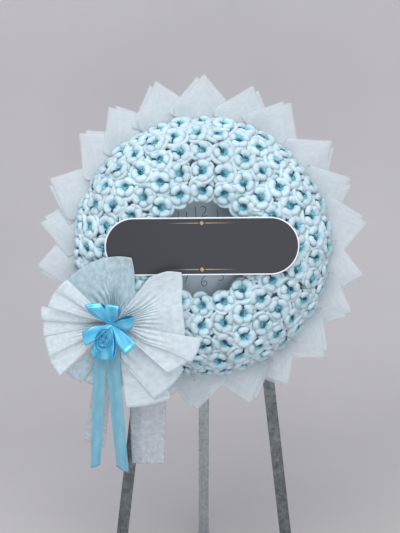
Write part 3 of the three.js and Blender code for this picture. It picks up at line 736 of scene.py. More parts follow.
@dataclass
class FlowerRing:
    """Five rows of flowers packed over the foam."""

    kinds: int = 5
    seed: int = 11
    tilt: float = 0.13  # radians that a flower may stand out of line
    sizes: tuple[float, float] = (0.96, 1.04)
    reach: float = 31.6  # half a flower's width as it is made, in mm
    lap: float = 1.6  # how far each flower reaches over its half of the pitch, in mm
    rows: Sequence[FlowerRow] = (
        FlowerRow("flower_row_1_inner", 154, 141, -20, 16, 0.0),
        FlowerRow("flower_row_2_crest", 211, 147, 4, 22, 0.5),
        FlowerRow("flower_row_3", 270, 133, 24, 28, 0.0),
        FlowerRow("flower_row_4", 320, 103, 45, 33, 0.5),
        FlowerRow("flower_row_5_outer", 356, 58, 66, 36, 0.0),
    )

    def tree(self) -> Tree:
        """Builds the node tree that sets a row of flowers on its circle.

        Returns:
            The tree, with named inputs for the row's sizes.
        """
        tree = bpy.data.node_groups.new("flower_row", "GeometryNodeTree")
        sockets = {"Row": "Geometry", "Flowers": "Collection", "Count": "Int"}
        sockets |= dict.fromkeys(("Radius", "Height", "Turn", "Stagger", "Width"), "Float")
        sockets |= {"Seed": "Int", "Petal": "Material", "Bead": "Material"}
        for name, kind in sockets.items():
            tree.interface.new_socket(name, in_out="INPUT", socket_type=f"NodeSocket{kind}")
        tree.interface.new_socket("Row", in_out="OUTPUT", socket_type="NodeSocketGeometry")
        given = add_node(tree, "NodeGroupInput").outputs
        index = add_node(tree, "GeometryNodeInputIndex")
        own = {"ID": index, "Seed": given["Seed"]}
        place = add_node(tree, "ShaderNodeMath", {0: index, 1: given["Stagger"]}, operation="ADD")
        share = add_node(tree, "ShaderNodeMath", {0: place, 1: given["Count"]}, operation="DIVIDE")
        angle = add_node(tree, "ShaderNodeMath", {0: share, 1: 2 * math.pi}, operation="MULTIPLY")
        across = add_node(tree, "ShaderNodeMath", {0: angle}, operation="COSINE")
        up = add_node(tree, "ShaderNodeMath", {0: angle}, operation="SINE")
        x = add_node(tree, "ShaderNodeMath", {0: across, 1: given["Radius"]}, operation="MULTIPLY")
        y = add_node(tree, "ShaderNodeMath", {0: up, 1: given["Radius"]}, operation="MULTIPLY")
        spot = add_node(tree, "ShaderNodeCombineXYZ", {"X": x, "Y": y, "Z": given["Height"]})
        line = add_node(tree, "GeometryNodeMeshLine", {"Count": given["Count"]})
        points = add_node(tree, "GeometryNodeSetPosition", {"Geometry": line, "Position": spot})
        quarter = add_node(tree, "ShaderNodeMath", {0: angle, 1: math.pi / 2}, operation="ADD")
        lean = add_node(tree, "ShaderNodeCombineXYZ", {"X": given["Turn"], "Z": quarter})
        facing = add_node(tree, "FunctionNodeEulerToRotation", {0: lean})
        low, high = (-self.tilt, -self.tilt, 0.0), (self.tilt, self.tilt, 2 * math.pi)
        by_hand = add_node(tree, "FunctionNodeRandomValue", {0: low, 1: high, **own}, data_type="FLOAT_VECTOR")
        spin = add_node(tree, "FunctionNodeEulerToRotation", {0: by_hand})
        turned = add_node(tree, "FunctionNodeRotateRotation", {0: facing, 1: spin}, rotation_space="LOCAL")
        picked = {"Collection": given["Flowers"], "Separate Children": True, "Reset Children": True}
        flowers = add_node(tree, "GeometryNodeCollectionInfo", picked)
        kinds = {4: 0, 5: self.kinds - 1, **own}
        kind = add_node(tree, "FunctionNodeRandomValue", kinds, data_type="INT").outputs[2]
        small, large = self.sizes
        sizes = {2: small, 3: large, **own}
        size = add_node(tree, "FunctionNodeRandomValue", sizes, data_type="FLOAT").outputs[1]
        width = add_node(tree, "ShaderNodeMath", {0: size, 1: given["Width"]}, operation="MULTIPLY")
        scale = add_node(tree, "ShaderNodeCombineXYZ", {"X": width, "Y": width, "Z": size})
        copies = {"Points": points, "Instance": flowers, "Pick Instance": True, "Instance Index": kind}
        copies |= {"Rotation": turned, "Scale": scale}
        row = add_node(tree, "GeometryNodeInstanceOnPoints", copies)
        tone = add_node(tree, "FunctionNodeRandomValue", own, data_type="FLOAT").outputs[1]
        named = {"Geometry": row, "Name": "tone", "Value": tone}
        toned = add_node(tree, "GeometryNodeStoreNamedAttribute", named, domain="INSTANCE", data_type="FLOAT")
        whole = add_node(tree, "GeometryNodeRealizeInstances", {"Geometry": toned})
        petals = add_node(tree, "GeometryNodeSetMaterial", {"Geometry": whole, "Material": given["Petal"]})
        is_bead = add_node(tree, "GeometryNodeInputNamedAttribute", {"Name": "bead"}, data_type="BOOLEAN")
        glazed = {"Geometry": petals, "Selection": is_bead, "Material": given["Bead"]}
        beads = add_node(tree, "GeometryNodeSetMaterial", glazed)
        add_node(tree, "NodeGroupOutput", {"Row": beads})
        return tree

    def build(self) -> None:
        """Makes the five rows, each as one plain mesh in place of its CAD node."""
        kinds = bpy.data.collections.new("flower_kinds")
        for number in range(self.kinds):
            kinds.objects.link(Flower(number, petals=5 if number == 4 else 4).made())
        tree = self.tree()
        for number, row in enumerate(self.rows):
            pitch = 2 * math.pi * row.radius / row.count
            values = {
                "Flowers": kinds,
                "Count": row.count,
                "Radius": float(row.radius),
                "Height": float(row.height),
                "Turn": math.radians(row.turn),
                "Stagger": row.stagger,
                "Width": (pitch / 2 + self.lap) / self.reach,
                "Seed": self.seed + number,
                "Petal": PETALS.material(),
                "Bead": BEADS.material(),
            }
            self.row_piece(row, tree, values)
        for flower in list(kinds.objects):
            bpy.data.objects.remove(flower)
        bpy.data.collections.remove(kinds)

    def row_piece(self, row: FlowerRow, tree: Tree, values: dict) -> None:
        """Makes one row and fixes it.

        Args:
            row: The row's sizes.
            tree: The tree that sets the flowers.
            values: The tree's input values by name.
        """
        name = row.node.replace("flower_row", "flowers")
        source = bpy.data.objects.new(name, bpy.data.meshes.new(name + "_start"))
        bpy.context.scene.collection.objects.link(source)
        setting = source.modifiers.new("flowers", "NODES")
        setting.node_group = tree
        for item in tree.interface.items_tree:
            if item.in_out == "INPUT" and item.name in values:
                setting[item.identifier] = values[item.name]
        source.update_tag()
        evaluated = source.evaluated_get(bpy.context.evaluated_depsgraph_get())
        mesh = bpy.data.meshes.new_from_object(evaluated)
        source.modifiers.remove(setting)
        mesh.transform(WREATH.matrix())
        mesh.shade_smooth()
        source.data = mesh
        settle(source, "flower_fabric", row.node)


# ---------------------------------------------------------------- collar


@dataclass
class Collar:
    """Twenty-two squares of bonded fabric, each folded corner to corner and gathered at its fold."""

    count: int = 22
    first: float = 90.0
    inner: float = 290.0
    tip: float = 466.0
    top_reach: float = 13.0  # the petals at the top are glued this much further out
    half_width: float = 84.0
    inner_half: float = 30.0
    side_edge: float = 373.0
    base: float = 13.0
    rise: float = math.radians(4.0)
    shingle: float = math.radians(6.0)
    square: float = 0.185  # side of the flat square, in metres
    thickness: float = 0.35
    shoulder: float = 81.0  # mm from the fold's middle out to its side corners
    by_hand: tuple[float, float] = (1.5, 5.0)  # degrees of its heading and mm of its reach
    shorter: float = 7.0  # mm that the back layer stays behind the front one
    crown: float = 5.0  # mm that its middle stands over its sides
    ripple: float = 2.4  # mm
    twist: float = 3.2  # mm
    curl: float = 2.5  # mm that its corner falls back
    gap: float = 3.4  # mm between its two layers
    apart: float = math.radians(2.4)  # the turn of the back layer against the front one

    def heading(self, number: int) -> float:
        """The direction in which a square points, in degrees anticlockwise from the right."""
        return self.first - 360.0 / self.count * number + self.by_hand[0] * variation(number, 2)

    def point(self, number: int, across: float, along: float) -> Vector:
        """A point of a folded square.

        Args:
            number: Which petal of the collar.
            across: From -1 to 1.
            along: From -1 at the back corner over the fold at 0 to 1 at the front corner.

        Returns:
            The point in the petal's own axes, y outwards.
        """
        share = abs(along)
        back = along < 0
        side = abs(across)
        x = across * self.half_width
        key = number * 1.9 + (5.0 if back else 0.0)
        reach = self.top_reach * max(0.0, math.sin(math.radians(self.heading(number)))) ** 3
        tip = self.tip + reach + self.by_hand[1] * variation(number, 1) - (self.shorter if back else 0.0)
        outer = tip - abs(x) * (self.tip - self.side_edge) / self.half_width
        beyond = max(0.0, abs(x) - self.inner_half)
        inner = self.inner + beyond * self.shoulder / (self.half_width - self.inner_half)
        y = mix(inner, outer, share)
        z = self.crown * (1 - side) + (y - self.inner) * math.tan(self.rise)
        z += self.ripple * math.cos(across * 4.2 + key) * (1 - 0.5 * share)
        z += self.twist * smooth(share) * variation(key, 6) * across
        z -= self.curl * share**3 * (1 + variation(key, 4))
        if back:
            z -= self.gap * smooth(share * 3)
            turn = self.apart * (1 if variation(number, 3) > -0.3 else -1) * smooth(share * 2)
            x, y = x * math.cos(turn) + y * math.sin(turn), y * math.cos(turn) - x * math.sin(turn)
        return Vector((x, y, z))

    def build(self) -> None:
        finish = COLLAR.material()
        for number in range(self.count):
            place = WREATH.matrix() @ Matrix.Rotation(math.radians(self.heading(number) - 90), 4, "Z")
            place = place @ Matrix.Rotation(self.shingle, 4, "Y") @ Matrix.Translation((0, 0, self.base))
            sketch = Sketch()
            sketch.grid(
                20,
                28,
                lambda u, v, n=number: self.point(n, 2 * u - 1, 2 * v - 1),
                (2 * self.half_width, 2 * (self.tip - self.inner)),
            )
            petal = sketch.made(f"collar_square_{number + 1:02d}", place, finish)
            thicken(petal, self.thickness)
            settle(petal, "nonwoven_fabric", f"collar_petal_{number + 1:02d}")


# ---------------------------------------------------------------- the bow


@dataclass(frozen=True)
class Fan:
    """One end of a gathered strip: from one angle to the other, with its lengths at even steps between them."""

    start: float
    end: float
    lengths: tuple[float, ...]
    deep: float  # half the height of its broad pleat, in mm
    over: float  # how far the pleat leans over, as a share of the fan's width

    def radius(self, share: float) -> float:
        """The fan's length at a share of its width."""
        return between(self.lengths, share)

    def mean(self) -> float:
        """The fan's mean length."""
        return sum(self.lengths) / len(self.lengths)

    def open_width(self) -> float:
        """The width that the fan's end spans."""
        return math.radians(abs(self.end - self.start)) * self.mean()

    def width(self) -> float:
        """The width of the flat cloth, with what its pleats take up."""
        return self.open_width() * (1.0 + 1.1 * abs(self.over))


@dataclass(frozen=True)
class Strip:
    """A strip of fabric gathered at its waist, with a fan at both ends."""

    node: str
    fans: tuple[Fan, Fan]

    def area(self) -> float:
        """The flat area of its cut, which may be wider at one end, in mm2."""
        return sum(fan.width() * fan.mean() for fan in self.fans)


@dataclass
class BowPlane:
    """The bow's own axes: at the knot, turned so that its outer side falls back."""

    x: float = -235.0
    y: float = -200.0
    z: float = 142.0
    tilt: float = math.radians(12.0)

    def matrix(self) -> Matrix:
        """Takes the bow's own millimetres to the frame's metres."""
        towards = math.atan2(-self.y, -self.x)
        axis = Vector((math.sin(towards), -math.cos(towards), 0.0))
        return WREATH.matrix() @ Matrix.Translation((self.x, self.y, self.z)) @ Matrix.Rotation(self.tilt, 4, axis)

    def plumb(self) -> Matrix:
        """The upright axes of what hangs from the knot."""
        return WREATH.matrix() @ Matrix.Translation((self.x, self.y, self.z)) @ Matrix.Rotation(WREATH.lean, 4, "X")


@dataclass
class FabricBow:
    """Four gathered strips of bonded fabric, one over the other."""

    plane: BowPlane = field(default_factory=BowPlane)
    layer: float = 7.0
    spread: float = 0.03
    gathers: int = 11
    deepest: float = 4.2
    thickness: float = 0.4
    columns: int = 132
    rows: int = 26
    fading: tuple[float, float] = (0.2, 0.55)  # where along a fan its gathers start to fade, and over how much
    forming: tuple[float, float] = (0.1, 0.35)  # where its pleat starts to form, and over how much
    wave: float = 1.4  # mm
    hem: float = 0.55  # how much flatter the fabric lies at its cut edges
    base: float = 4.5  # mm under the first strip
    strips: Sequence[Strip] = (
        Strip(
            "bow_strip_1_back",
            (
                Fan(143, 43.8, (174, 173, 174, 178, 180, 182, 184, 112, 80), 5.0, 0.06),
                Fan(226, 250, (204, 200, 197, 194, 193), 4.0, 0.3),
            ),
        ),
        Strip(
            "bow_strip_2",
            (
                Fan(-32, -83, (226, 233, 237, 256, 237), 5.0, 0.3),
                Fan(168, 192, (206, 203, 201, 201, 203), 3.4, 0.1),
            ),
        ),
        Strip(
            "bow_strip_3",
            (
                Fan(52, -8, (165, 212, 240, 226, 213, 205, 200, 197, 196, 197, 198), 4.0, -0.04),
                Fan(192, 224, (197, 201, 207, 212, 214), 3.4, 0.1),
            ),
        ),
        Strip(
            "bow_strip_4_front",
            (
                Fan(-6, -40, (246, 239, 234, 222, 196), 4.0, 0.14),
                Fan(134, 165, (172, 176, 178, 180, 182), 3.4, 0.1),
            ),
        ),
    )

    def gather(self, fan: Fan, share: float) -> float:
        """Half the height of the gathers that hold the cloth's full width at a share of the fan's length."""
        open_width = fan.open_width() * share
        return math.sqrt(max(0.0, fan.width() ** 2 - open_width**2)) / (4 * self.gathers)

    def point(self, strip: Strip, layer: int, across: float, along: float) -> Vector:
        """A point of a strip.

        Args:
            strip: The strip.
            layer: Its place from the back.
            across: From 0 to 1 over its width.
            along: From 0 at the end of its first fan to 1 at the end of the other.

        Returns:
            The point in the bow's own axes.
        """
        fan = strip.fans[0 if along < 0.5 else 1]
        share = abs(2 * along - 1)
        radius = share * fan.radius(across)
        key = layer * 3.7 + (1.3 if along < 0.5 else 0.0)
        fine = 2 * math.pi * self.gathers * across + 0.8 * math.sin(4 * across + key)
        start, length = self.fading
        close = 1 - smooth((share - start) / length)
        height = min(self.gather(fan, share), self.deepest) * math.sin(fine) * close * smooth(share * 8)
        pleat = 2 * math.pi * across
        start, length = self.forming
        formed = smooth((share - start) / length)
        lean = math.copysign(1.0, fan.over)
        height += lean * fan.deep * math.sin(pleat) * formed
        height += self.wave * math.sin(8.0 * across + 3.1 * share + key) * smooth(share)
        swing = abs(fan.over) * math.sin(pleat) * formed / max(share, 0.3)
        edge = 1 - self.hem * abs(2 * across - 1) ** 6
        angle = math.radians(mix(fan.start, fan.end, across + swing))
        level = layer * (self.layer + self.spread * radius) + self.base
        return Vector((math.cos(angle) * radius, math.sin(angle) * radius, level + height * edge))

    def build(self) -> None:
        """Makes the strips from back to front."""
        # the back strip takes the copy of the fabric with painted shade
        front, back = BOW.material(), BOW_BACK_SHADED.material()
        for layer, strip in enumerate(self.strips):
            length = sum(fan.mean() for fan in strip.fans)
            width = max(fan.width() for fan in strip.fans)
            sketch = Sketch()
            sketch.grid(
                self.columns, 2 * self.rows, lambda u, v, s=strip, n=layer: self.point(s, n, u, v), (width, length)
            )
            piece = sketch.made(strip.node.replace("strip", "fabric"), self.plane.matrix(), front if layer else back)
            cut = strip.area() * MM * MM
            LOG.info("%s: %.4f m2 of cloth from a cut of %.4f m2", piece.name, sheet_area(piece), cut)
            thicken(piece, self.thickness)
            settle(piece, "nonwoven_fabric", strip.node)


@dataclass(frozen=True)
class Tail:
    """A tail that hangs from the knot: its middle, half width and depth at the knot, the bend and the end."""

    node: str
    drop: float
    x: tuple[float, float, float]
    half: tuple[float, float, float]
    forward: tuple[float, float, float]
    slant: float
    double: float = 0.0  # share of the width that is folded under at its left edge

    @property
    def satin(self) -> bool:
        """Whether it is cut from satin ribbon."""
        return self.node.startswith("satin")


@dataclass
class Tails:
    """The ends of fabric and ribbon that hang from the bow."""

    plane: BowPlane = field(default_factory=BowPlane)
    bend: float = 0.3  # share of the drop at which a tail leaves the knot's pull
    thickness: float = 0.4
    curl: float = 3.0  # mm across a tail's end
    fold: float = 1.6  # mm between the layers of a folded edge
    tails: Sequence[Tail] = (
        Tail("bow_tail_left", 366, (0, -30, -68), (5, 22, 29), (-3, -20, -26), 14),
        Tail("bow_tail_right", 424, (0, 84, 82), (5, 56, 47), (-10, -8, -23), 2, double=0.3),
        Tail("satin_tail_left", 414, (-8, -42, -62), (10, 17, 14), (34, 31, 19), -6),
        Tail("satin_tail_right", 424, (8, -5, 14), (10, 19, 17), (38, 35, 20), 10),
    )

    def along(self, values: tuple[float, float, float], share: float) -> float:
        """A tail's value at a share of its drop, from its three values."""
        start, middle, end = values
        if share < self.bend:
            return mix(start, middle, math.sin(share / self.bend * math.pi / 2))
        return mix(middle, end, (share - self.bend) / (1 - self.bend))

    def point(self, tail: Tail, key: float, across: float, share: float) -> Vector:
        """A point of a tail.

        Args:
            tail: The tail.
            key: Varies its waves.
            across: From 0 to 1 over its width, its folded share first.
            share: From 0 at the knot to 1 at its end.

        Returns:
            The point in the upright axes at the knot.
        """
        folded = tail.double / (1 + tail.double)
        under = across < folded
        if under:
            side = -1 + 2 * tail.double * (1 - across / folded)
        else:
            side = 2 * (across - folded) / (1 - folded) - 1
        ripple, roll = (0.8, 2.0) if tail.satin else (1.8, 0.6)  # mm
        x = self.along(tail.x, share) + self.along(tail.half, share) * side
        y = -tail.drop * share - tail.slant * side * share
        wave = self.curl * share * math.cos(side * math.pi)
        wave += ripple * math.sin(9 * share + 2.2 * side + key) * smooth(share * 3)
        wave += roll * math.cos(side * 2.6 + key) * (1 - share)
        z = self.along(tail.forward, share) + wave
        if under:
            z -= self.fold * smooth((side + 1) * 4)
        return Vector((x, y, z))

    def build(self) -> None:
        """Makes the four tails."""
        for number, tail in enumerate(self.tails):
            satin = tail.satin
            width = 2 * max(tail.half) * (1 + tail.double) * MM
            sketch = Sketch()
            sketch.grid(
                24,
                60,
                lambda u, v, t=tail, k=number * 1.7: self.point(t, k, u, v),
                (width / MM, tail.drop),
            )
            name = tail.node.replace("tail", "end")
            # satin tails take the copy of the ribbon with painted shade
            piece = sketch.made(name, self.plane.plumb(), (SATIN_BACK_SHADED if satin else TAIL).material())
            thicken(piece, self.thickness)
            settle(piece, "satin_ribbon" if satin else "nonwoven_fabric", tail.node)


@dataclass(frozen=True)
class Loop:
    """A loop of ribbon: its direction, how far it reaches, how much it rises and how its end slants."""

    angle: float
    reach: float
    rise: float
    slant: float = 0.0
    roll: float = 0.0


@dataclass
class SatinBow:
    """The ribbon bow on top: loops round a knot that is wound like a small rose."""

    plane: BowPlane = field(default_factory=BowPlane)
    width: float = 37.0
    height: float = 24.0
    middle: float = 55.0
    thickness: float = 0.5
    hub: tuple[float, float] = (5.0, 7.0)  # where the loops meet
    waist: float = 5.0  # half the ribbon's width where it is bound
    band: tuple[float, float, float] = (11.0, 30.0, 58.0)  # the binding's radius, back and front
    windings: float = 2.7
    rose: tuple[float, float] = (-13.0, -30.0)  # the middle of the rose knot
    rose_radii: tuple[float, float] = (3.0, 21.5)  # at its heart, and how much it grows outwards
    loops: Sequence[Loop] = (
        Loop(122, 88, 30, 0.6),
        Loop(80, 70, 30, -0.1),
        Loop(12, 72, 24, 0.5, 0.35),
        Loop(-50, 88, 16, -0.1, -0.2),
        Loop(207, 88, 12, 0.25, 0.2),
        Loop(262, 96, 8, -0.3, 0.15),
        Loop(243, 104, 2, 0.2),
    )

    def loop_place(self, loop: Loop) -> Matrix:
        """The place of a loop in the bow's own axes."""
        place = Matrix.Translation((*self.hub, self.middle)) @ Matrix.Rotation(math.radians(loop.angle), 4, "Z")
        place = place @ Matrix.Rotation(-math.radians(loop.rise), 4, "Y")
        return place @ Matrix.Rotation(loop.roll, 4, "X")

    def loop_point(self, loop: Loop, across: float, along: float) -> Vector:
        """A point of a loop.

        Args:
            loop: The loop.
            across: From 0 to 1 over the ribbon.
            along: From 0 at the knot, round the loop, to 1 back at the knot.

        Returns:
            The point in the bow's own axes.
        """
        turn = 2 * math.pi * along
        out = (1 - math.cos(turn)) / 2
        side = 2 * across - 1
        half = mix(self.waist, self.width / 2, smooth(out * 1.5))
        reach = loop.reach * (out**0.9) - 2.0 * side * side * out
        height = self.height / 2 * math.sin(turn) * (0.4 + 0.6 * out)
        height += 1.6 * (1 - side * side) * math.sin(turn) * out
        point = Vector((reach + loop.slant * side * half * out, side * half, height))
        return self.loop_place(loop) @ point

    def knot_point(self, across: float, along: float) -> Vector:
        """A point of the rose knot, wound outwards from its heart."""
        turn = 2 * math.pi * self.windings * along
        heart, growth = self.rose_radii
        radius = heart + growth * along + 5.0 * across**1.5 * (0.25 + along)
        height = self.middle + 19.0 + 17.0 * across * (1 - 0.45 * along) - 2.0 * along
        height += 1.3 * math.sin(2.3 * turn) * across
        x = self.rose[0] + (0.86 * math.cos(turn) + 0.3 * math.sin(turn)) * radius
        return Vector((x, self.rose[1] + 1.22 * math.sin(turn) * radius, height))

    def band_point(self, across: float, along: float) -> Vector:
        """A point of the band that binds the fabric and the loops together."""
        turn = 2 * math.pi * along
        mean, back, front = self.band
        radius = mean + 1.2 * math.cos(3 * turn) - 2.0 * math.sin(math.pi * across)
        return Vector((math.cos(turn) * radius, math.sin(turn) * radius, mix(back, front, across)))

    def build(self) -> None:
        """Makes the loops with their band, and the knot."""
        place = self.plane.matrix()
        sketch = Sketch()
        used = 0.0
        for loop in self.loops:
            length = 1.9 * loop.reach
            sketch.grid(10, 40, lambda u, v, item=loop: self.loop_point(item, u, v), (self.width, length), used)
            used += length
        sketch.grid(4, 28, self.band_point, (28.0, 70.0), used)
        loops = sketch.made("satin_bow", place, SATIN.material())
        thicken(loops, self.thickness)
        settle(loops, "satin_ribbon", "satin_loops")
        area = sheet_area(loops)
        LOG.info("satin_bow: ribbon %.4f of %.4f m2", area, (used + 70) * self.width * MM * MM)
        rose = Sketch()
        rose.grid(8, 110, self.knot_point, (18.5, 220.0))
        knot = rose.made("satin_rose", place, SATIN.material())
        thicken(knot, self.thickness)
        settle(knot, "satin_ribbon", "satin_knot")
        LOG.info("satin_rose: ribbon %.4f of %.4f m2", sheet_area(knot), 18.5 * 220.0 * MM * MM)


# ---------------------------------------------------------------- sign


@dataclass
class SignBoard:
    """The long rounded sign: white acrylic with a dull dark film, left bare but for its gilt ornament."""

    length: float = 525.0
    height: float = 156.0
    thickness: float = 5.0
    back: float = 151.0
    y: float = 6.0
    turn: float = math.radians(0.5)
    border: float = 3.6
    film: float = 0.3
    ornament: float = 62.5  # from the middle to each gilt line
    line: float = 95.0
    stroke: float = 2.4
    diamond: float = 6.4
    space: float = 3.0  # mm between the diamond and its lines
    gilt: float = 0.12  # mm
    rounding: float = 0.8  # mm

    def place(self) -> Matrix:
        """The sign's own axes."""
        move = Matrix.Translation((0, self.y, self.back))
        return WREATH.matrix() @ move @ Matrix.Rotation(self.turn, 4, "Z")

    def outline(self, inset: float) -> list[tuple[float, float]]:
        """The rounded outline, drawn in by an inset in mm."""
        radius = self.height / 2 - inset
        reach = self.length / 2 - self.height / 2
        steps = 40
        turns = [math.pi * i / steps for i in range(steps + 1)]
        right = [(reach + radius * math.sin(a), -radius * math.cos(a)) for a in turns]
        return right + [(-x, -y) for x, y in right]

    def slab(self, name: str, outline: Profile, low: float, high: float, finish: Finish) -> bpy.types.Object:
        """A flat slab of any outline.

        Args:
            name: The piece's name.
            outline: Its corners, anticlockwise.
            low: The height of its back.
            high: The height of its front.
            finish: Its finish.

        Returns:
            The slab.
        """
        sketch = Sketch()
        count = len(outline)
        sketch.points = [Vector((x, y, z)) for z in (low, high) for x, y in outline]
        sketch.cloth = [(p.x, p.y, 0.0) for p in sketch.points]
        sketch.faces = [tuple(range(count - 1, -1, -1)), tuple(range(count, 2 * count))]
        sketch.faces += [(i, (i + 1) % count, count + (i + 1) % count, count + i) for i in range(count)]
        slab = sketch.made(name, self.place(), finish.material())
        slab.data.shade_flat()
        return slab

    def build(self) -> None:
        """Makes the board, its film and the two gilt ornaments."""
        board = self.slab("sign_acrylic", self.outline(0), 0, self.thickness, BOARD_WHITE)
        edge = board.modifiers.new("edge", "BEVEL")
        edge.width = self.rounding * MM
        edge.segments = 3
        settle(board, "sign_acrylic", "sign_board")
        top = self.thickness + self.film
        settle(self.slab("sign_film", self.outline(self.border), self.thickness, top, CHARCOAL), "sign_acrylic")
        for name, sign in (("upper", 1), ("lower", -1)):
            y = sign * self.ornament
            half, big, end = self.stroke / 2, self.diamond, self.diamond + self.space
            strokes = [
                ((-self.line, y), (-end, y - half), (-end, y + half)),
                ((self.line, y), (end, y + half), (end, y - half)),
                ((-big, y), (0, y - big), (big, y), (0, y + big)),
            ]
            for number, stroke in enumerate(strokes):
                mark = self.slab(f"gilt_{name}_{number + 1}", stroke, top, top + self.gilt, GOLD)
                settle(mark, "sign_acrylic")


# ---------------------------------------------------------------- clock


@dataclass
class WallClock:
    """The clock in the middle of the ring: plain thin numbers on a pale dial."""

    turn: float = math.radians(3.5)
    base: float = 8.3
    face: float = 24.5
    ring: float = 98.0
    size: float = 46.0
    thin: float = 0.9
    print_height: float = 0.08
    print_gap: float = 0.09  # mm from the dial's face to the middle of the print

    def numeral(self, hour: int) -> bpy.types.Object:
        """One number of the dial.

        Args:
            hour: The hour it names.

        Returns:
            The number as a mesh on the dial.
        """
        text = bpy.data.curves.new(f"hour_{hour}", "FONT")
        text.body = str(hour)
        text.size = self.size
        text.align_x = "CENTER"
        text.align_y = "CENTER"
        text.offset = -self.thin
        text.extrude = self.print_height
        text.resolution_u = 6
        source = bpy.data.objects.new(text.name, text)
        bpy.context.scene.collection.objects.link(source)
        mesh = bpy.data.meshes.new_from_object(source.evaluated_get(bpy.context.evaluated_depsgraph_get()))
        bpy.data.objects.remove(source)
        angle = math.radians(90 - 30 * hour)
        height = self.base + self.face + self.print_gap
        spot = Vector((math.cos(angle) * self.ring, math.sin(angle) * self.ring, height))
        place = WREATH.matrix() @ Matrix.Rotation(self.turn, 4, "Z") @ Matrix.Translation(spot)
        mesh.transform(place)
        mesh.materials.clear()
        mesh.materials.append(INK.material())
        number = bpy.data.objects.new(f"dial_number_{hour:02d}", mesh)
        bpy.context.scene.collection.objects.link(number)
        return number

    def build(self) -> None:
        """Prints the numbers and finishes the clock's CAD nodes."""
        for hour in range(1, 13):
            settle(self.numeral(hour), "dial_card")
        finishes = {
            "clock_case": CASE,
            "clock_dial": DIAL,
            "clock_lens": LENS,
            "clock_movement": MOVEMENT,
            "clock_hour_hand": HANDS,
            "clock_minute_hand": HANDS,
            "clock_second_hand": HANDS,
        }
        dress(finishes)


def dress(finishes: dict[str, Finish]) -> None:
    """Gives CAD nodes their finish.

    Args:
        finishes: Node name to its finish.
    """
    for name, finish in finishes.items():
        node = frame["nodes"][name]
        node.data.materials.clear()
        node.data.materials.append(finish.material())
        LOG.info("%s: finished in %s", name, finish.name)


@dataclass
class Easel:
    """The folding easel, the board and the foam, whose CAD shapes are right and only need their finish."""

    def build(self) -> None:
        """Finishes the steel, the shoes, the board and the foam."""
        dress({leg.value[0]: leg.finish() for leg in Leg})
        dress({f"foot_{side}": RUBBER for side in ("left", "right", "rear")})
        dress({"easel_head": Leg.REAR.finish(), "hinge_bolt": ZINC, "board_hanger": ZINC})
        dress({"sign_pin_left": ZINC, "sign_pin_right": ZINC, "backing_board": PLY, "foam_ring": FOAM})


# ---------------------------------------------------------------- studio


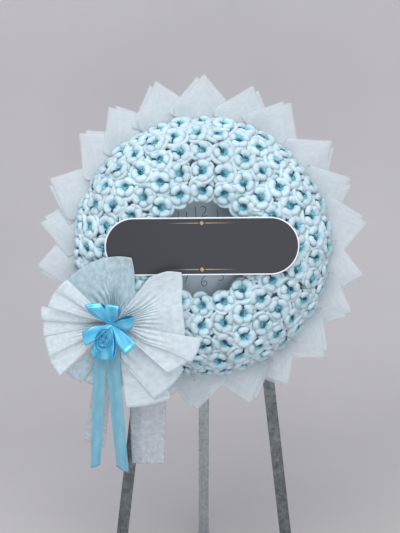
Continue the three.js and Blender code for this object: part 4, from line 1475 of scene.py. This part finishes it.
@dataclass
class Studio:
    """Pale floor and sweep, soft light and the camera."""

    distance: float = 2.8
    elevation: float = math.radians(12.0)
    dip: float = math.radians(13.0)
    yaw: float = math.radians(0.11)
    lens: float = 70.0
    aim: float = 147.0  # mm before the backing board, on the wreath's axis
    air: float = 0.74  # strength of the light from all round
    # Each light's name, place in metres, side in metres and power in watts.
    lights: Sequence[tuple[str, tuple[float, float, float], float, float]] = (
        ("top_soft", (-0.4, -1.6, 3.6), 2.6, 82.0),
        ("front_soft", (1.6, -4.2, 2.2), 2.4, 38.0),
        ("face_soft", (-0.1, -4.4, 0.7), 0.8, 26.0),
    )

    def camera(self) -> None:
        """Sets the camera a little above the wreath's own normal."""
        target = WREATH.matrix() @ Vector((0, 0, self.aim))
        away = Vector((0, -math.cos(self.elevation), math.sin(self.elevation)))
        data = bpy.data.cameras.new("camera")
        data.type = "PERSP"
        data.lens = self.lens
        data.sensor_width = 36.0
        data.clip_end = 50.0
        camera = bpy.data.objects.new("camera", data)
        camera.location = target + away * self.distance
        camera.rotation_euler = Euler((math.pi / 2 - self.dip, 0, self.yaw))
        bpy.context.scene.collection.objects.link(camera)
        bpy.context.scene.camera = camera

    def sweep(self) -> None:
        """Lays the floor and the backdrop in one sheet of studio paper."""
        sketch = Sketch()
        bend, wall, floor = 1400.0, 2600.0, -6000.0
        side, top = 5000.0, 6000.0

        def point(across: float, along: float) -> Vector:
            """A point of the sweep in the frame's own millimetres."""
            x = mix(-side, side, across)
            if along < 0.3:
                return Vector((x, mix(floor, wall - bend, along / 0.3), 0))
            if along < 0.7:
                turn = (along - 0.3) / 0.4 * math.pi / 2
                return Vector((x, wall - bend + bend * math.sin(turn), bend * (1 - math.cos(turn))))
            return Vector((x, wall, mix(bend, top, (along - 0.7) / 0.3)))

        sketch.grid(8, 60, point)
        # Even pale paper that leaves the whites to the wreath.
        paper = StudioPaper("studio_paper", "C3C0C3", "C0BDC0", grain=400.0, roughness=0.95, relief=0.0)
        sweep = sketch.made("studio_sweep", Matrix.Scale(MM, 4), paper.material())
        sweep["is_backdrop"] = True

    def light(self, name: str, place: Vector, size: float, power: float) -> None:
        """Hangs a square soft light that faces the wreath.

        Args:
            name: The light's name.
            place: Its place in metres.
            size: Its side in metres.
            power: Its power in watts.
        """
        data = bpy.data.lights.new(name, "AREA")
        data.size = size
        data.energy = power
        lamp = bpy.data.objects.new(name, data)
        lamp.location = place
        lamp.rotation_euler = (Vector((0, 0, 1.0)) - place).to_track_quat("-Z", "Y").to_euler()
        bpy.context.scene.collection.objects.link(lamp)

    def build(self) -> None:
        """Sets the camera, the floor and the lights."""
        self.camera()
        self.sweep()
        for name, place, size, power in self.lights:
            self.light(name, Vector(place), size, power)
        world = bpy.data.worlds.new("studio")
        world.use_nodes = True
        world.node_tree.nodes.clear()
        air = add_node(world.node_tree, "ShaderNodeBackground", {"Color": linear("E8ECF2"), "Strength": self.air})
        add_node(world.node_tree, "ShaderNodeOutputWorld", {"Surface": air})
        bpy.context.scene.world = world
        bpy.context.scene.view_settings.view_transform = "Standard"


def main() -> None:
    """Builds the studio and the wreath, piece by piece."""
    logging.basicConfig(level=logging.INFO, format="%(name)s %(message)s")
    for part in (
        Studio(),
        Easel(),
        FlowerRing(),
        Collar(),
        FabricBow(),
        SatinBow(),
        Tails(),
        SignBoard(),
        WallClock(),
    ):
        LOG.info("building %s", type(part).__name__)
        part.build()
    bpy.context.view_layer.update()
    sizes = {"cad": CAD_BOX, "visual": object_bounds()}
    {name: [list(map(float, corner)) for corner in box] for name, box in sizes.items()}


if __name__ == "__main__":
    main()
